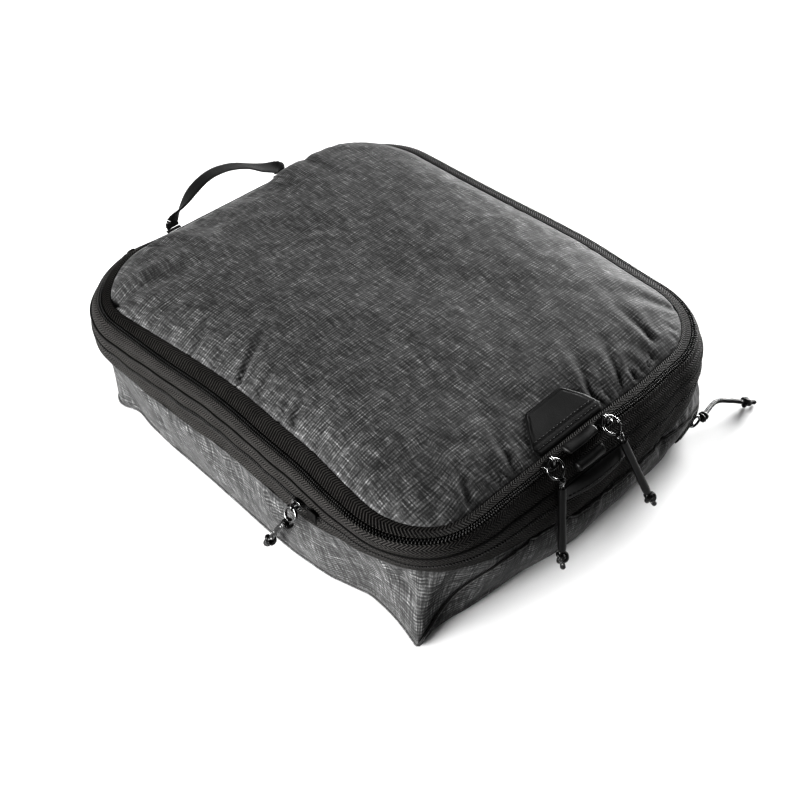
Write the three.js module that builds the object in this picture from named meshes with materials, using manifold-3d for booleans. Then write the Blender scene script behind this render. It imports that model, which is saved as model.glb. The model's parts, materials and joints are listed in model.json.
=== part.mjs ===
// A soft zipped packing cube: a domed lid on a tear-away zip, a collar that rises on an expansion
// zip, a lower shell with a divider and a second zip, and cord pulls.
// Millimetres. +X is right as seen from the label side, +Y runs from the label to the handle,
// +Z is up, and the origin is the middle of the base.
import * as THREE from "three";
import { mergeVertices } from "three/addons/utils/BufferGeometryUtils.js";
import Module from "manifold-3d";

const wasm = await Module();
wasm.setup();

// ---- Driving dimensions ------------------------------------------------------------------

const GAP = 0.3; // clearance between pieces that touch
const FABRIC = 1.2; // thickness of a bonded or folded panel

const SEAM = { halfWidth: 136, front: -166, rear: 166, radii: [52, 52, 52, 52] };
const SEAM_Z = 84; // height of the lid's seam
const CROWN_HEIGHT = 16; // how far the lid domes above its seam
const CROWN_POWER = 6; // a high power is flat on top and steep at the seam

const BASE = { halfWidth: 147, front: -173, rear: 131, radii: [40, 14, 14, 11] };
const WALL_FOOT_Z = FABRIC + GAP + 0.1;
const BINDING_WIDTH = 1.8; // piped seam round the base
const WALL_TOP_Z = 42.3;
const WALL_TOP_OFFSET = 13; // outside the seam outline
const WALL_WAIST_Z = 28; // an extra loop between the wall's top and the second zip
const BINDING_TOP_Z = 3.4;

const BAND_BULGE = 15; // the zip band's widest offset from the seam outline
const BAND_OUTSIDE = BAND_BULGE + 0.6; // the expansion zip's coil
const EXPANSION_ZIP_Z = 58; // centre line of the expansion zip
const RIDGE_Z = 70.5; // the piping between the two zips
const RIDGE_RADIUS = 0.85;
const RIDGE_OFFSET = 14.8;
const MAIN_ZIP_OFFSET = 7; // centre line of the main zip, outside the seam outline
const MAIN_ZIP_END_X = 88; // each side of the handle

const DIVIDER_Z = 30;
const DIVIDER_CLEARANCE = 2; // between the divider's edge and the wall
const ACCESS_ZIP_Z = 15;

const HANDLE_FOOT_Z = 75;
const HANDLE_WIDTH = 10;
const HANDLE_THICKNESS = 1.6;
const HANDLE_TWIST_SHARE = 0.3; // of the strap's length, in which each leg turns a quarter
// The strap's centre line, from its left foot to its right one: it springs up steeply on the left
// and slumps to the right.
const HANDLE_ROUTE = [
  [-51, 183, HANDLE_FOOT_Z],
  [-50.9, 183.2, 79],
  [-40, 184.4, 86.5],
  [-27, 186, 94.5],
  [-12, 187.6, 98.8],
  [4, 188.3, 98],
  [20, 187.8, 93.2],
  [37, 186, 84.5],
  [51.8, 183.4, 79],
  [52, 183, HANDLE_FOOT_Z],
];

const LABEL_CENTRE_X = -11;
const LABEL_THICKNESS = 1.2;
const LABEL_LIFT = 0.6; // under the patch, over the crown
// The patch's half width at each distance along Y, from the seam back up the crown.
const LABEL_ROWS = [
  [-165.4, 29],
  [-161, 31],
  [-153, 26],
  [-147, 21],
  [-141, 16.5],
];
// Rolls of coated cloth between the two main sliders, one on the lid and one on the collar.
const UPPER_ROLL = { from: -27, to: 1, y: -173.2, z: 86.9, depth: 7.4, height: 3.8 };
const LOWER_ROLL = { from: -26, to: -1, y: -181.8, z: 78.5, depth: 5.8, height: 5.6 };
const FLAP = { from: -37, to: 23, rootZ: 68.4, lipZ: 58.8, bulge: 5.2 };
const HANDLE_TACK = { width: 12, far: 183.6, top: HANDLE_FOOT_Z - 1.9 };
const MAIN_SLIDER_X = { left: -40, right: 10 };
const EXPANSION_SLIDER_Y = -75;
const ACCESS_SLIDER_TURN = THREE.MathUtils.degToRad(12); // from the front, round the corner

const CORNER_STEPS = 7; // chords in each rounded corner
const SIDE_STEPS = 3; // stretches in each straight side

const COLOURS = {
  heather: { color: 0x4a4a4b, roughness: 0.85, metalness: 0 },
  heatherDark: { color: 0x3d3d3f, roughness: 0.88, metalness: 0 },
  tape: { color: 0x1b1b1a, roughness: 0.8, metalness: 0 },
  coil: { color: 0x141414, roughness: 0.6, metalness: 0 },
  webbing: { color: 0x121212, roughness: 0.75, metalness: 0 },
  coated: { color: 0x202020, roughness: 0.55, metalness: 0 },
  metal: { color: 0x0c0c0c, roughness: 0.2, metalness: 0.4 },
  cord: { color: 0x151515, roughness: 0.7, metalness: 0 },
  sleeve: { color: 0x0e0e0e, roughness: 0.5, metalness: 0 },
};

const cube = new THREE.Group();

function add(name, geometry, finish) {
  const mesh = new THREE.Mesh(geometry, new THREE.MeshStandardMaterial(COLOURS[finish]));
  mesh.name = name;
  cube.add(mesh);
  return mesh;
}

// ---- Outlines ----------------------------------------------------------------------------

// Points round a rounded rectangle, anticlockwise from above, starting where the front side
// meets the front right corner. Every outline has the same number of points.
function outlinePoints(outline, offset = 0) {
  const { halfWidth, front, rear, radii } = outline;
  const corners = [
    { x: halfWidth - radii[0], y: front + radii[0], radius: radii[0], start: -90 },
    { x: halfWidth - radii[1], y: rear - radii[1], radius: radii[1], start: 0 },
    { x: -halfWidth + radii[2], y: rear - radii[2], radius: radii[2], start: 90 },
    { x: -halfWidth + radii[3], y: front + radii[3], radius: radii[3], start: 180 },
  ];
  const arcs = corners.map(({ x, y, radius, start }) => {
    const arc = [];
    for (let step = 0; step <= CORNER_STEPS; step++) {
      const angle = THREE.MathUtils.degToRad(start + (90 * step) / CORNER_STEPS);
      const reach = radius + offset;
      arc.push(new THREE.Vector2(x + reach * Math.cos(angle), y + reach * Math.sin(angle)));
    }
    return arc;
  });
  return arcs.flatMap((arc, i) => {
    const next = arcs[(i + 1) % arcs.length][0];
    const side = [];
    for (let step = 1; step < SIDE_STEPS; step++) {
      side.push(arc.at(-1).clone().lerp(next, step / SIDE_STEPS));
    }
    return [...arc, ...side];
  });
}

function mixOutlines(a, b, t) {
  const mix = (p, q) => p + (q - p) * t;
  return {
    halfWidth: mix(a.halfWidth, b.halfWidth),
    front: mix(a.front, b.front),
    rear: mix(a.rear, b.rear),
    radii: a.radii.map((radius, i) => mix(radius, b.radii[i])),
  };
}

function grownOutline(outline, by) {
  return {
    halfWidth: outline.halfWidth + by,
    front: outline.front - by,
    rear: outline.rear + by,
    radii: outline.radii.map((radius) => radius + by),
  };
}

function scaledOutline(outline, by) {
  return {
    halfWidth: outline.halfWidth * by,
    front: outline.front * by,
    rear: outline.rear * by,
    radii: outline.radii.map((radius) => radius * by),
  };
}

// The lower shell's outline at a height, from the band's round corners to the base's sharp ones.
function wallOutline(z) {
  const t = (WALL_TOP_Z - z) / (WALL_TOP_Z - WALL_FOOT_Z);
  return mixOutlines(grownOutline(SEAM, WALL_TOP_OFFSET), BASE, t);
}

function loopAt(outline, offset, z) {
  return outlinePoints(outline, offset).map((p) => new THREE.Vector3(p.x, p.y, z));
}

// ---- Solids from loops -------------------------------------------------------------------

function signedVolume(points, faces) {
  let volume = 0;
  for (let i = 0; i < faces.length; i += 3) {
    const [a, b, c] = [points[faces[i]], points[faces[i + 1]], points[faces[i + 2]]];
    volume += a.dot(b.clone().cross(c)) / 6;
  }
  return volume;
}

// Joins loops of equal length. A hoop also joins its last loop to its first; otherwise the two
// end loops are filled.
function loft(loops, hoop = false) {
  const count = loops[0].length;
  const points = loops.flat();
  const faces = [];
  const stretches = hoop ? loops.length : loops.length - 1;
  for (let k = 0; k < stretches; k++) {
    const here = k * count;
    const there = ((k + 1) % loops.length) * count;
    for (let i = 0; i < count; i++) {
      const j = (i + 1) % count;
      faces.push(here + i, here + j, there + j, here + i, there + j, there + i);
    }
  }
  if (!hoop) {
    [0, loops.length - 1].forEach((k) => {
      const middle = loops[k].reduce((sum, p) => sum.add(p), new THREE.Vector3());
      points.push(middle.divideScalar(count));
      for (let i = 0; i < count; i++) {
        const edge = [k * count + i, k * count + ((i + 1) % count)];
        faces.push(points.length - 1, ...(k === 0 ? edge.reverse() : edge));
      }
    });
  }
  if (signedVolume(points, faces) < 0) faces.reverse();
  const geometry = new THREE.BufferGeometry().setFromPoints(points);
  geometry.setIndex(faces);
  geometry.computeVertexNormals();
  return geometry;
}

// A hoop whose section is a list of [offset, z] pairs round the seam outline.
function hoopRound(section) {
  return loft(
    section.map(([offset, z]) => loopAt(SEAM, offset, z)),
    true,
  );
}

// A closed section for a sheet that follows a list of [offset, z] pairs, thickened inwards.
function sheetSection(profile, thickness) {
  const inner = profile.map(([offset, z]) => [offset - thickness, z]);
  return [...profile, ...inner.reverse()];
}

function roundSection(offset, z, radius, sides = 6) {
  const section = [];
  for (let i = 0; i < sides; i++) {
    const angle = (2 * Math.PI * i) / sides;
    section.push([offset + radius * Math.cos(angle), z + radius * Math.sin(angle)]);
  }
  return section;
}

// ---- Joining solids ----------------------------------------------------------------------

function solidOf(geometry) {
  const bare = geometry.index ? geometry.toNonIndexed() : geometry.clone();
  bare.deleteAttribute("normal");
  bare.deleteAttribute("uv");
  const merged = mergeVertices(bare, 1e-4);
  return new wasm.Manifold(
    new wasm.Mesh({
      numProp: 3,
      vertProperties: merged.attributes.position.array,
      triVerts: new Uint32Array(merged.index.array),
    }),
  );
}

function joined(geometries) {
  const solid = geometries.map(solidOf).reduce((sum, next) => sum.add(next));
  const mesh = solid.getMesh();
  const geometry = new THREE.BufferGeometry();
  geometry.setAttribute("position", new THREE.BufferAttribute(mesh.vertProperties, 3));
  geometry.setIndex(new THREE.BufferAttribute(mesh.triVerts, 1));
  geometry.computeVertexNormals();
  return geometry;
}

// ---- Lower shell -------------------------------------------------------------------------

function flatPanel(outline, offset, bottom, thickness) {
  const inset = 0.5; // a second loop keeps the filled faces flat near the corners
  const inner = scaledOutline(outline, inset);
  return loft([
    loopAt(inner, 0, bottom),
    loopAt(outline, offset, bottom),
    loopAt(outline, offset, bottom + thickness),
    loopAt(inner, 0, bottom + thickness),
  ]);
}

function sideWall() {
  const heights = [WALL_TOP_Z, WALL_WAIST_Z, ACCESS_ZIP_Z, WALL_FOOT_Z];
  const outer = heights.map((z) => loopAt(wallOutline(z), 0, z));
  const inner = heights.map((z) => loopAt(wallOutline(z), -FABRIC, z));
  return loft([...outer, ...inner.reverse()], true);
}

function bottomBinding() {
  const section = [
    [GAP, 0.4],
    [BINDING_WIDTH, 0.6],
    [BINDING_WIDTH, BINDING_TOP_Z - 0.2],
    [GAP + 0.2, BINDING_TOP_Z],
  ];
  return loft(
    section.map(([offset, z]) => loopAt(wallOutline(z), offset, z)),
    true,
  );
}

// A sheet folded in three behind the expansion zip.
const GUSSET = { low: 44.5, high: RIDGE_Z - 1.6, out: 11.8, back: 9, thickness: 0.8 };

function expansionGusset() {
  const { low, high, out, back, thickness } = GUSSET;
  const pleats = [0, 1, 2, 3].map((i) => [i % 2 ? back : out, low + ((high - low) * i) / 3]);
  return hoopRound(sheetSection(pleats, thickness));
}

// A strip on the wall that starts at the front right corner and runs back along the right side.
function accessStrip(low, high, inside, outside) {
  const last = CORNER_STEPS + SIDE_STEPS;
  const edges = [
    [low, inside],
    [low, outside],
    [high, outside],
    [high, inside],
  ].map(([z, offset]) => loopAt(wallOutline(z), offset, z));
  const stations = [];
  for (let i = 0; i <= last; i++) stations.push(edges.map((edge) => edge[i]));
  return loft(stations);
}

add("bottom_panel", flatPanel(BASE, -BINDING_WIDTH, 0, FABRIC), "heatherDark");
add("side_wall", sideWall(), "heather");
add("bottom_binding", bottomBinding(), "tape");
add(
  "divider_panel",
  flatPanel(wallOutline(DIVIDER_Z), -FABRIC - DIVIDER_CLEARANCE, DIVIDER_Z, FABRIC),
  "heatherDark",
);
add("expansion_gusset", expansionGusset(), "heatherDark");

const ACCESS_TAPE_OUTSIDE = 1.0;
const ACCESS_TAPE_HALF_WIDTH = 5;
const ACCESS_COIL_OUTSIDE = 2.2;
const ACCESS_COIL_HALF_WIDTH = 1.2;

function accessZip(halfWidth, inside, outside) {
  return accessStrip(ACCESS_ZIP_Z - halfWidth, ACCESS_ZIP_Z + halfWidth, inside, outside);
}

add("access_zip_tape", accessZip(ACCESS_TAPE_HALF_WIDTH, GAP, ACCESS_TAPE_OUTSIDE), "tape");
add(
  "access_zip_coil",
  accessZip(ACCESS_COIL_HALF_WIDTH, ACCESS_TAPE_OUTSIDE + GAP, ACCESS_COIL_OUTSIDE),
  "coil",
);

// ---- Zip band: expansion zip, ridge and main zip -----------------------------------------

const COIL_HALF_GAP = 0.15; // between the two halves of a closed coil
const EXPANSION_COIL_HEIGHT = 1.3;

// The half of the expansion coil above (1) or below (-1) its centre line.
function expansionCoil(side) {
  const near = EXPANSION_ZIP_Z + side * COIL_HALF_GAP;
  const far = near + side * EXPANSION_COIL_HEIGHT;
  const [inside, outside] = [BAND_BULGE - 0.9, BAND_OUTSIDE];
  return hoopRound([
    [inside, near],
    [outside, near],
    [outside, far],
    [inside, far],
  ]);
}

const COIL_DEPTH = 2;
const MAIN_COIL_INSIDE = 5.3;
const MAIN_COIL_OUTSIDE = 8.7;

function mainCoil(from, to) {
  return hoopRound([
    [from, SEAM_Z - COIL_DEPTH],
    [to, SEAM_Z - COIL_DEPTH],
    [to, SEAM_Z],
    [from, SEAM_Z],
  ]);
}

const expansionTapeEdge = COIL_HALF_GAP + EXPANSION_COIL_HEIGHT + GAP;
add(
  "compression_tape_lower",
  hoopRound(
    sheetSection(
      [
        [WALL_TOP_OFFSET, WALL_TOP_Z + GAP],
        [14.4, 47.5],
        [BAND_BULGE, EXPANSION_ZIP_Z - expansionTapeEdge],
      ],
      FABRIC,
    ),
  ),
  "tape",
);
add("compression_coil_lower", expansionCoil(-1), "coil");

add(
  "compression_tape_upper",
  hoopRound(
    sheetSection(
      [
        [BAND_BULGE, EXPANSION_ZIP_Z + expansionTapeEdge],
        [BAND_BULGE, 64],
        [14.5, RIDGE_Z - 1.2],
      ],
      FABRIC,
    ),
  ),
  "tape",
);
add("compression_coil_upper", expansionCoil(1), "coil");
add("ridge_piping", hoopRound(roundSection(RIDGE_OFFSET, RIDGE_Z, RIDGE_RADIUS)), "tape");
add(
  "main_tape_lower",
  hoopRound(
    sheetSection(
      [
        [13.8, RIDGE_Z + 1.3],
        [13, 75],
        [11.6, 78.5],
        [10.2, SEAM_Z - COIL_DEPTH],
      ],
      FABRIC,
    ),
  ),
  "tape",
);
add("main_coil_lower", mainCoil(MAIN_ZIP_OFFSET + COIL_HALF_GAP, MAIN_COIL_OUTSIDE), "coil");

// ---- Lid ---------------------------------------------------------------------------------

function crownZ(scale) {
  return SEAM_Z + CROWN_HEIGHT * (1 - scale ** CROWN_POWER);
}

function topPanel() {
  const scales = [1, 0.97, 0.92, 0.85, 0.76, 0.62, 0.4, 0.15];
  const surface = (drop) => scales.map((s) => loopAt(scaledOutline(SEAM, s), 0, crownZ(s) - drop));
  return loft([...surface(0).reverse(), ...surface(FABRIC)]);
}

// A plate on the lid's front slope.
function labelPatch() {
  const loops = LABEL_ROWS.map(([y, half]) => {
    const z = crownZ(y / SEAM.front) + LABEL_LIFT;
    const corners = [
      [-half, 0],
      [half, 0],
      [half, LABEL_THICKNESS],
      [-half, LABEL_THICKNESS],
    ];
    return corners.map(([x, up]) => new THREE.Vector3(LABEL_CENTRE_X + x, y, z + up));
  });
  return loft(loops);
}

// A bar along X between two places, of the given depth (Y) and height (Z), with blunt ends.
function rolledBar({ from, to, y, z, depth, height }) {
  const sides = 10;
  const [taper, endScale] = [1.2, 0.75];
  const ends = [
    [from, endScale],
    [from + taper, 1],
    [to - taper, 1],
    [to, endScale],
  ];
  return loft(
    ends.map(([x, scale]) => {
      const loop = [];
      for (let i = 0; i < sides; i++) {
        const angle = (2 * Math.PI * i) / sides;
        const dy = (Math.cos(angle) * scale * depth) / 2;
        const dz = (Math.sin(angle) * scale * height) / 2;
        loop.push(new THREE.Vector3(x, y + dy, z + dz));
      }
      return loop;
    }),
  );
}

// Sewn end stop on the main zip's lower tape, beside one rear corner.
function zipEndStop(x) {
  const [near, far] = [SEAM.rear + MAIN_ZIP_OFFSET + 0.5, SEAM.rear + MAIN_ZIP_OFFSET + 4];
  const [width, height, lift] = [9, 1.2, 0.35];
  const bar = new THREE.BoxGeometry(width, far - near, height);
  return bar.translate(x, (near + far) / 2, SEAM_Z + lift + height / 2);
}

// A flap along the front of the band, bowed out from the ridge in plan.
function lowerGrabTab() {
  const { from, to, rootZ, lipZ, bulge } = FLAP;
  const root = SEAM.front - BAND_OUTSIDE;
  const [endReach, lip, stations] = [1.6, 0.8, 9];
  const loops = [];
  for (let i = 0; i < stations; i++) {
    const t = i / (stations - 1);
    const x = from + (to - from) * t;
    const reach = endReach + bulge * Math.sin(Math.PI * t);
    loops.push([
      new THREE.Vector3(x, root, rootZ - FABRIC),
      new THREE.Vector3(x, root - reach, lipZ),
      new THREE.Vector3(x, root - reach - lip, lipZ + FABRIC),
      new THREE.Vector3(x, root, rootZ + FABRIC / 2),
    ]);
  }
  return loft(loops);
}

add("top_panel", topPanel(), "heather");
add(
  "lid_seam_binding",
  hoopRound([
    [-7, SEAM_Z - 3.4],
    [-0.6, SEAM_Z - 3.4],
    [-0.6, SEAM_Z - FABRIC - GAP],
    [-7, SEAM_Z - FABRIC - GAP],
  ]),
  "tape",
);
add(
  "main_tape_upper",
  hoopRound([
    [GAP, SEAM_Z - 1.1],
    [5, SEAM_Z - 1.1],
    [5, SEAM_Z - 0.2],
    [GAP, SEAM_Z - 0.2],
  ]),
  "tape",
);
add("main_coil_upper", mainCoil(MAIN_COIL_INSIDE, MAIN_ZIP_OFFSET - COIL_HALF_GAP), "coil");
add("label_patch", labelPatch(), "coated");
add("upper_grab_tab", rolledBar(UPPER_ROLL), "coated");
add("zip_garage", rolledBar(LOWER_ROLL), "coated");
add("lower_grab_tab", lowerGrabTab(), "coated");
add("main_zip_end_left", zipEndStop(-MAIN_ZIP_END_X), "tape");
add("main_zip_end_right", zipEndStop(MAIN_ZIP_END_X), "tape");

// ---- Handle ------------------------------------------------------------------------------

// A strap that starts flat against the rear band, turns a quarter as it rises and crosses the
// top with its width fore and aft.
function handleWebbing() {
  const points = HANDLE_ROUTE.map((point) => new THREE.Vector3(...point));
  const route = new THREE.CatmullRomCurve3(points);
  const stations = 26;
  const corners = [
    [-1, -1],
    [1, -1],
    [1, 1],
    [-1, 1],
  ];
  const loops = [];
  for (let i = 0; i <= stations; i++) {
    const t = i / stations;
    const centre = route.getPoint(t);
    const along = route.getTangent(t);
    const rise = THREE.MathUtils.smoothstep(Math.min(t, 1 - t), 0, HANDLE_TWIST_SHARE);
    const turn = (rise * Math.PI) / 2;
    const across = new THREE.Vector3(Math.cos(turn), Math.sin(turn), 0);
    across.addScaledVector(along, -across.dot(along)).normalize();
    const through = along.clone().cross(across).normalize();
    loops.push(
      corners.map(([w, h]) =>
        centre
          .clone()
          .addScaledVector(across, (w * HANDLE_WIDTH) / 2)
          .addScaledVector(through, (h * HANDLE_THICKNESS) / 2),
      ),
    );
  }
  return loft(loops);
}

function handleTack(x) {
  const { width, far, top } = HANDLE_TACK;
  const near = SEAM.rear + BAND_BULGE + GAP;
  const low = RIDGE_Z + 1.2;
  return new THREE.BoxGeometry(width, far - near, top - low).translate(
    x,
    (near + far) / 2,
    (low + top) / 2,
  );
}

add("handle_webbing", handleWebbing(), "webbing");
add("handle_tack_left", handleTack(HANDLE_ROUTE[0][0]), "webbing");
add("handle_tack_right", handleTack(HANDLE_ROUTE.at(-1)[0]), "webbing");

// ---- Sliders and cord pulls --------------------------------------------------------------

const PLATE_THICKNESS = 1.6;
const PIVOT_LIFT = 4.6; // height of the ring's pivot above the slider's underside
const WIRE_RADIUS = 0.7;
const DOUBLE_CORD_RADIUS = 1.7; // two strands side by side, as one round cord
const SLEEVE_RADIUS = 2.6;

// A slider on its own frame: the zip runs along X, the pull pivots about X, and +Z points away
// from the tape. The plate's underside is at z = 0.
function sliderBody(size = 1) {
  const plan = new THREE.Shape();
  plan.moveTo(5.5, 0);
  plan.lineTo(3.2, 3.6);
  plan.lineTo(-3.2, 3.6);
  plan.lineTo(-5.5, 0);
  plan.lineTo(-3.2, -3.6);
  plan.lineTo(3.2, -3.6);
  plan.closePath();
  const plate = new THREE.ExtrudeGeometry(plan, { depth: PLATE_THICKNESS, bevelEnabled: false });
  const bridge = new THREE.Shape();
  const [out, top] = [3, PIVOT_LIFT + 2.2];
  bridge.moveTo(-out, 1);
  bridge.lineTo(out, 1);
  bridge.lineTo(out, top - 1.4);
  bridge.lineTo(out - 1.4, top);
  bridge.lineTo(-out + 1.4, top);
  bridge.lineTo(-out, top - 1.4);
  bridge.closePath();
  const hole = new THREE.Path();
  const [holeOut, holeLow, holeHigh] = [1.6, 2.4, PIVOT_LIFT + 1.1];
  hole.moveTo(-holeOut, holeLow);
  hole.lineTo(-holeOut, holeHigh);
  hole.lineTo(holeOut, holeHigh);
  hole.lineTo(holeOut, holeLow);
  hole.closePath();
  bridge.holes.push(hole);
  const thickness = 2;
  const arch = new THREE.ExtrudeGeometry(bridge, { depth: thickness, bevelEnabled: false });
  // The bridge is drawn across the zip (shape x is slider y, shape y is slider z).
  arch.translate(0, 0, -thickness / 2).rotateX(Math.PI / 2).rotateZ(Math.PI / 2);
  return joined([plate, arch]).scale(size, size, size);
}

// A wire ring that hangs from a pivot: it lies in the plane of the pivot axis and the fall.
function pullRing(pivot, axis, fall, radius) {
  const along = axis.clone().normalize();
  const down = fall.clone().addScaledVector(along, -fall.dot(along)).normalize();
  const basis = new THREE.Matrix4().makeBasis(along, down, along.clone().cross(down));
  const ring = new THREE.TorusGeometry(radius, WIRE_RADIUS, 8, 20);
  ring.translate(0, radius, 0).applyMatrix4(basis).translate(pivot.x, pivot.y, pivot.z);
  return ring;
}

function circleShape(radius, sides) {
  const shape = new THREE.Shape();
  for (let i = 0; i < sides; i++) {
    const angle = (2 * Math.PI * i) / sides;
    const point = [radius * Math.cos(angle), radius * Math.sin(angle)];
    if (i === 0) shape.moveTo(...point);
    else shape.lineTo(...point);
  }
  shape.closePath();
  return shape;
}

function cordAlong(points, radius, steps) {
  return new THREE.ExtrudeGeometry(circleShape(radius, 8), {
    extrudePath: new THREE.CatmullRomCurve3(points),
    steps,
    bevelEnabled: false,
  });
}

// Turns a shape built up the Z axis to point from one place towards another.
function aimed(geometry, from, to) {
  const direction = to.clone().sub(from).normalize();
  const turn = new THREE.Quaternion().setFromUnitVectors(new THREE.Vector3(0, 0, 1), direction);
  return geometry.applyQuaternion(turn).translate(from.x, from.y, from.z);
}

function sleeveTube(from, to) {
  const [inner, outer] = [DOUBLE_CORD_RADIUS + 0.35, SLEEVE_RADIUS];
  const length = from.distanceTo(to);
  const profile = [
    [inner, 0],
    [outer, 0],
    [outer, length],
    [inner, length],
    [inner, 0],
  ].map(([r, h]) => new THREE.Vector2(r, h));
  const tube = new THREE.LatheGeometry(profile, 10).rotateX(Math.PI / 2);
  return aimed(tube, from, to);
}

// A knot with its cut tail, built up the Z axis from z = 0.
function knotWithTail(radius, tail) {
  const knot = new THREE.SphereGeometry(radius, 10, 8).translate(0, 0, radius);
  const stub = new THREE.CylinderGeometry(radius * 0.45, radius * 0.45, tail, 8);
  stub.rotateX(Math.PI / 2).translate(0, 0, 2 * radius - 0.8 + tail / 2);
  return joined([knot, stub]);
}

// The cord, an optional sleeve and the knot of one pull, along its route from the ring.
function addCordPull(name, route, { sleeve = false, knotRadius = 3.3, tail = 6 } = {}) {
  const end = route.at(-1);
  const before = route.at(-2);
  const steps = Math.max(8, Math.round(end.distanceTo(route[0]) / (5 * DOUBLE_CORD_RADIUS)));
  add(name + "_cord", cordAlong(route, DOUBLE_CORD_RADIUS, steps), "cord");
  if (sleeve) {
    const from = route[0].clone().lerp(end, 0.1);
    const to = route[0].clone().lerp(end, 0.98);
    add(name + "_sleeve", sleeveTube(from, to), "sleeve");
  }
  const onward = end.clone().sub(before).normalize();
  const knotStart = end.clone().addScaledVector(onward, GAP);
  const knot = knotWithTail(knotRadius, tail);
  add(name + "_knot", aimed(knot, knotStart, knotStart.clone().add(onward)), "cord");
}

const SLIDER_LIFT = 0.4; // a slider's underside above the coil
const MAIN_RING_RADIUS = 6;

const MAIN_PULLS = {
  left: { fall: new THREE.Vector3(0, -0.68, -0.73), knot: new THREE.Vector3(-46, -195, 28) },
  right: { fall: new THREE.Vector3(0, -0.9, -0.44), knot: new THREE.Vector3(29, -203, 28) },
};

Object.entries(MAIN_PULLS).forEach(([side, { fall, knot }]) => {
  const x = MAIN_SLIDER_X[side];
  const y = SEAM.front - MAIN_ZIP_OFFSET - 1;
  const base = SEAM_Z + SLIDER_LIFT;
  add("main_slider_body_" + side, sliderBody().translate(x, y, base), "metal");
  const pivot = new THREE.Vector3(x, y, base + PIVOT_LIFT);
  const axis = new THREE.Vector3(1, 0, 0);
  add("main_pull_" + side + "_ring", pullRing(pivot, axis, fall, MAIN_RING_RADIUS), "metal");
  const reach = 2 * MAIN_RING_RADIUS + WIRE_RADIUS + GAP + 1;
  const start = pivot.clone().addScaledVector(fall.clone().normalize(), reach);
  addCordPull("main_pull_" + side, [start, start.clone().lerp(knot, 0.5), knot], { sleeve: true });
});

// The expansion zip's slider sits on the left side; its pull hangs down and trails rearwards.
const SMALL = 0.85; // size of the two lesser sliders against the main ones
const SMALL_RING_RADIUS = 4.6;

const expansionBasis = new THREE.Matrix4().makeBasis(
  new THREE.Vector3(0, -1, 0),
  new THREE.Vector3(0, 0, 1),
  new THREE.Vector3(-1, 0, 0),
);
const expansionSliderX = -(SEAM.halfWidth + BAND_OUTSIDE + SLIDER_LIFT);
add(
  "compression_slider_body",
  sliderBody(SMALL)
    .applyMatrix4(expansionBasis)
    .translate(expansionSliderX, EXPANSION_SLIDER_Y, EXPANSION_ZIP_Z),
  "metal",
);
const expansionPivot = new THREE.Vector3(
  expansionSliderX - PIVOT_LIFT * SMALL,
  EXPANSION_SLIDER_Y,
  EXPANSION_ZIP_Z,
);
const expansionFall = new THREE.Vector3(-0.42, 0, -0.9);
add(
  "compression_pull_ring",
  pullRing(expansionPivot, new THREE.Vector3(0, 1, 0), expansionFall, SMALL_RING_RADIUS),
  "metal",
);
const expansionCordStart = expansionPivot
  .clone()
  .addScaledVector(expansionFall.clone().normalize(), 2 * SMALL_RING_RADIUS + 2.4);
addCordPull("compression_pull", [
  expansionCordStart,
  new THREE.Vector3(-161.5, -66, 36),
  new THREE.Vector3(-161.5, -57, 18),
]);

// Sewn over the coil's closed end, ahead of the slider.
function compressionEndTab() {
  const [thickness, width, height, ahead] = [1.4, 8, 9, 13];
  const outside = SEAM.halfWidth + BAND_OUTSIDE + GAP + thickness;
  const tab = new THREE.BoxGeometry(thickness, width, height);
  return tab.translate(thickness / 2 - outside, EXPANSION_SLIDER_Y - ahead, EXPANSION_ZIP_Z);
}

add("compression_end_tab", compressionEndTab(), "tape");

// The second compartment's slider sits on the round front right corner and turns about the
// centre of that corner; its pull pivots about a vertical axis and reaches out to the floor.
const accessOutline = wallOutline(ACCESS_ZIP_Z);
const accessCentre = new THREE.Vector3(
  accessOutline.halfWidth - accessOutline.radii[0],
  accessOutline.front + accessOutline.radii[0],
  ACCESS_ZIP_Z,
);
const accessOut = new THREE.Vector3(Math.sin(ACCESS_SLIDER_TURN), -Math.cos(ACCESS_SLIDER_TURN), 0);
const accessAlong = new THREE.Vector3(Math.cos(ACCESS_SLIDER_TURN), Math.sin(ACCESS_SLIDER_TURN), 0);
const accessReach = accessOutline.radii[0] + ACCESS_COIL_OUTSIDE + SLIDER_LIFT;
const accessSeat = accessCentre.clone().addScaledVector(accessOut, accessReach);
const up = new THREE.Vector3(0, 0, 1);

// This slider's bridge is turned a quarter, so that its pull trails along the zip.
const accessBasis = new THREE.Matrix4().makeBasis(up, accessAlong.clone().negate(), accessOut);
const quarterTurned = sliderBody(SMALL).applyMatrix4(accessBasis);
add("access_slider_body", quarterTurned.translate(accessSeat.x, accessSeat.y, accessSeat.z), "metal");
const accessPivot = accessSeat.clone().addScaledVector(accessOut, PIVOT_LIFT * SMALL);
const accessFall = accessAlong.clone().multiplyScalar(0.93).addScaledVector(accessOut, 0.36);
add("access_pull_ring", pullRing(accessPivot, up, accessFall, SMALL_RING_RADIUS), "metal");
const accessCordStart = accessPivot
  .clone()
  .addScaledVector(accessFall.clone().normalize(), 2 * SMALL_RING_RADIUS + 2.4);
addCordPull("access_pull", [
  accessCordStart,
  new THREE.Vector3(141, -180, 15.5),
  new THREE.Vector3(153, -185, 12),
  new THREE.Vector3(163, -189, 7),
]);

export default cube;
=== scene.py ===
"""Looks of a zipped packing cube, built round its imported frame: heather cloth lid and lower shell,
a black double zip band, cord pulls, a coated label and a webbing handle. Everything is in metres;
+X is right as seen from the label side, +Y runs from the label to the handle, and Z is up."""

import json
import math

import bmesh
import bpy
import numpy as np
from mathutils import Matrix, Vector
from mathutils.geometry import delaunay_2d_cdt

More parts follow.
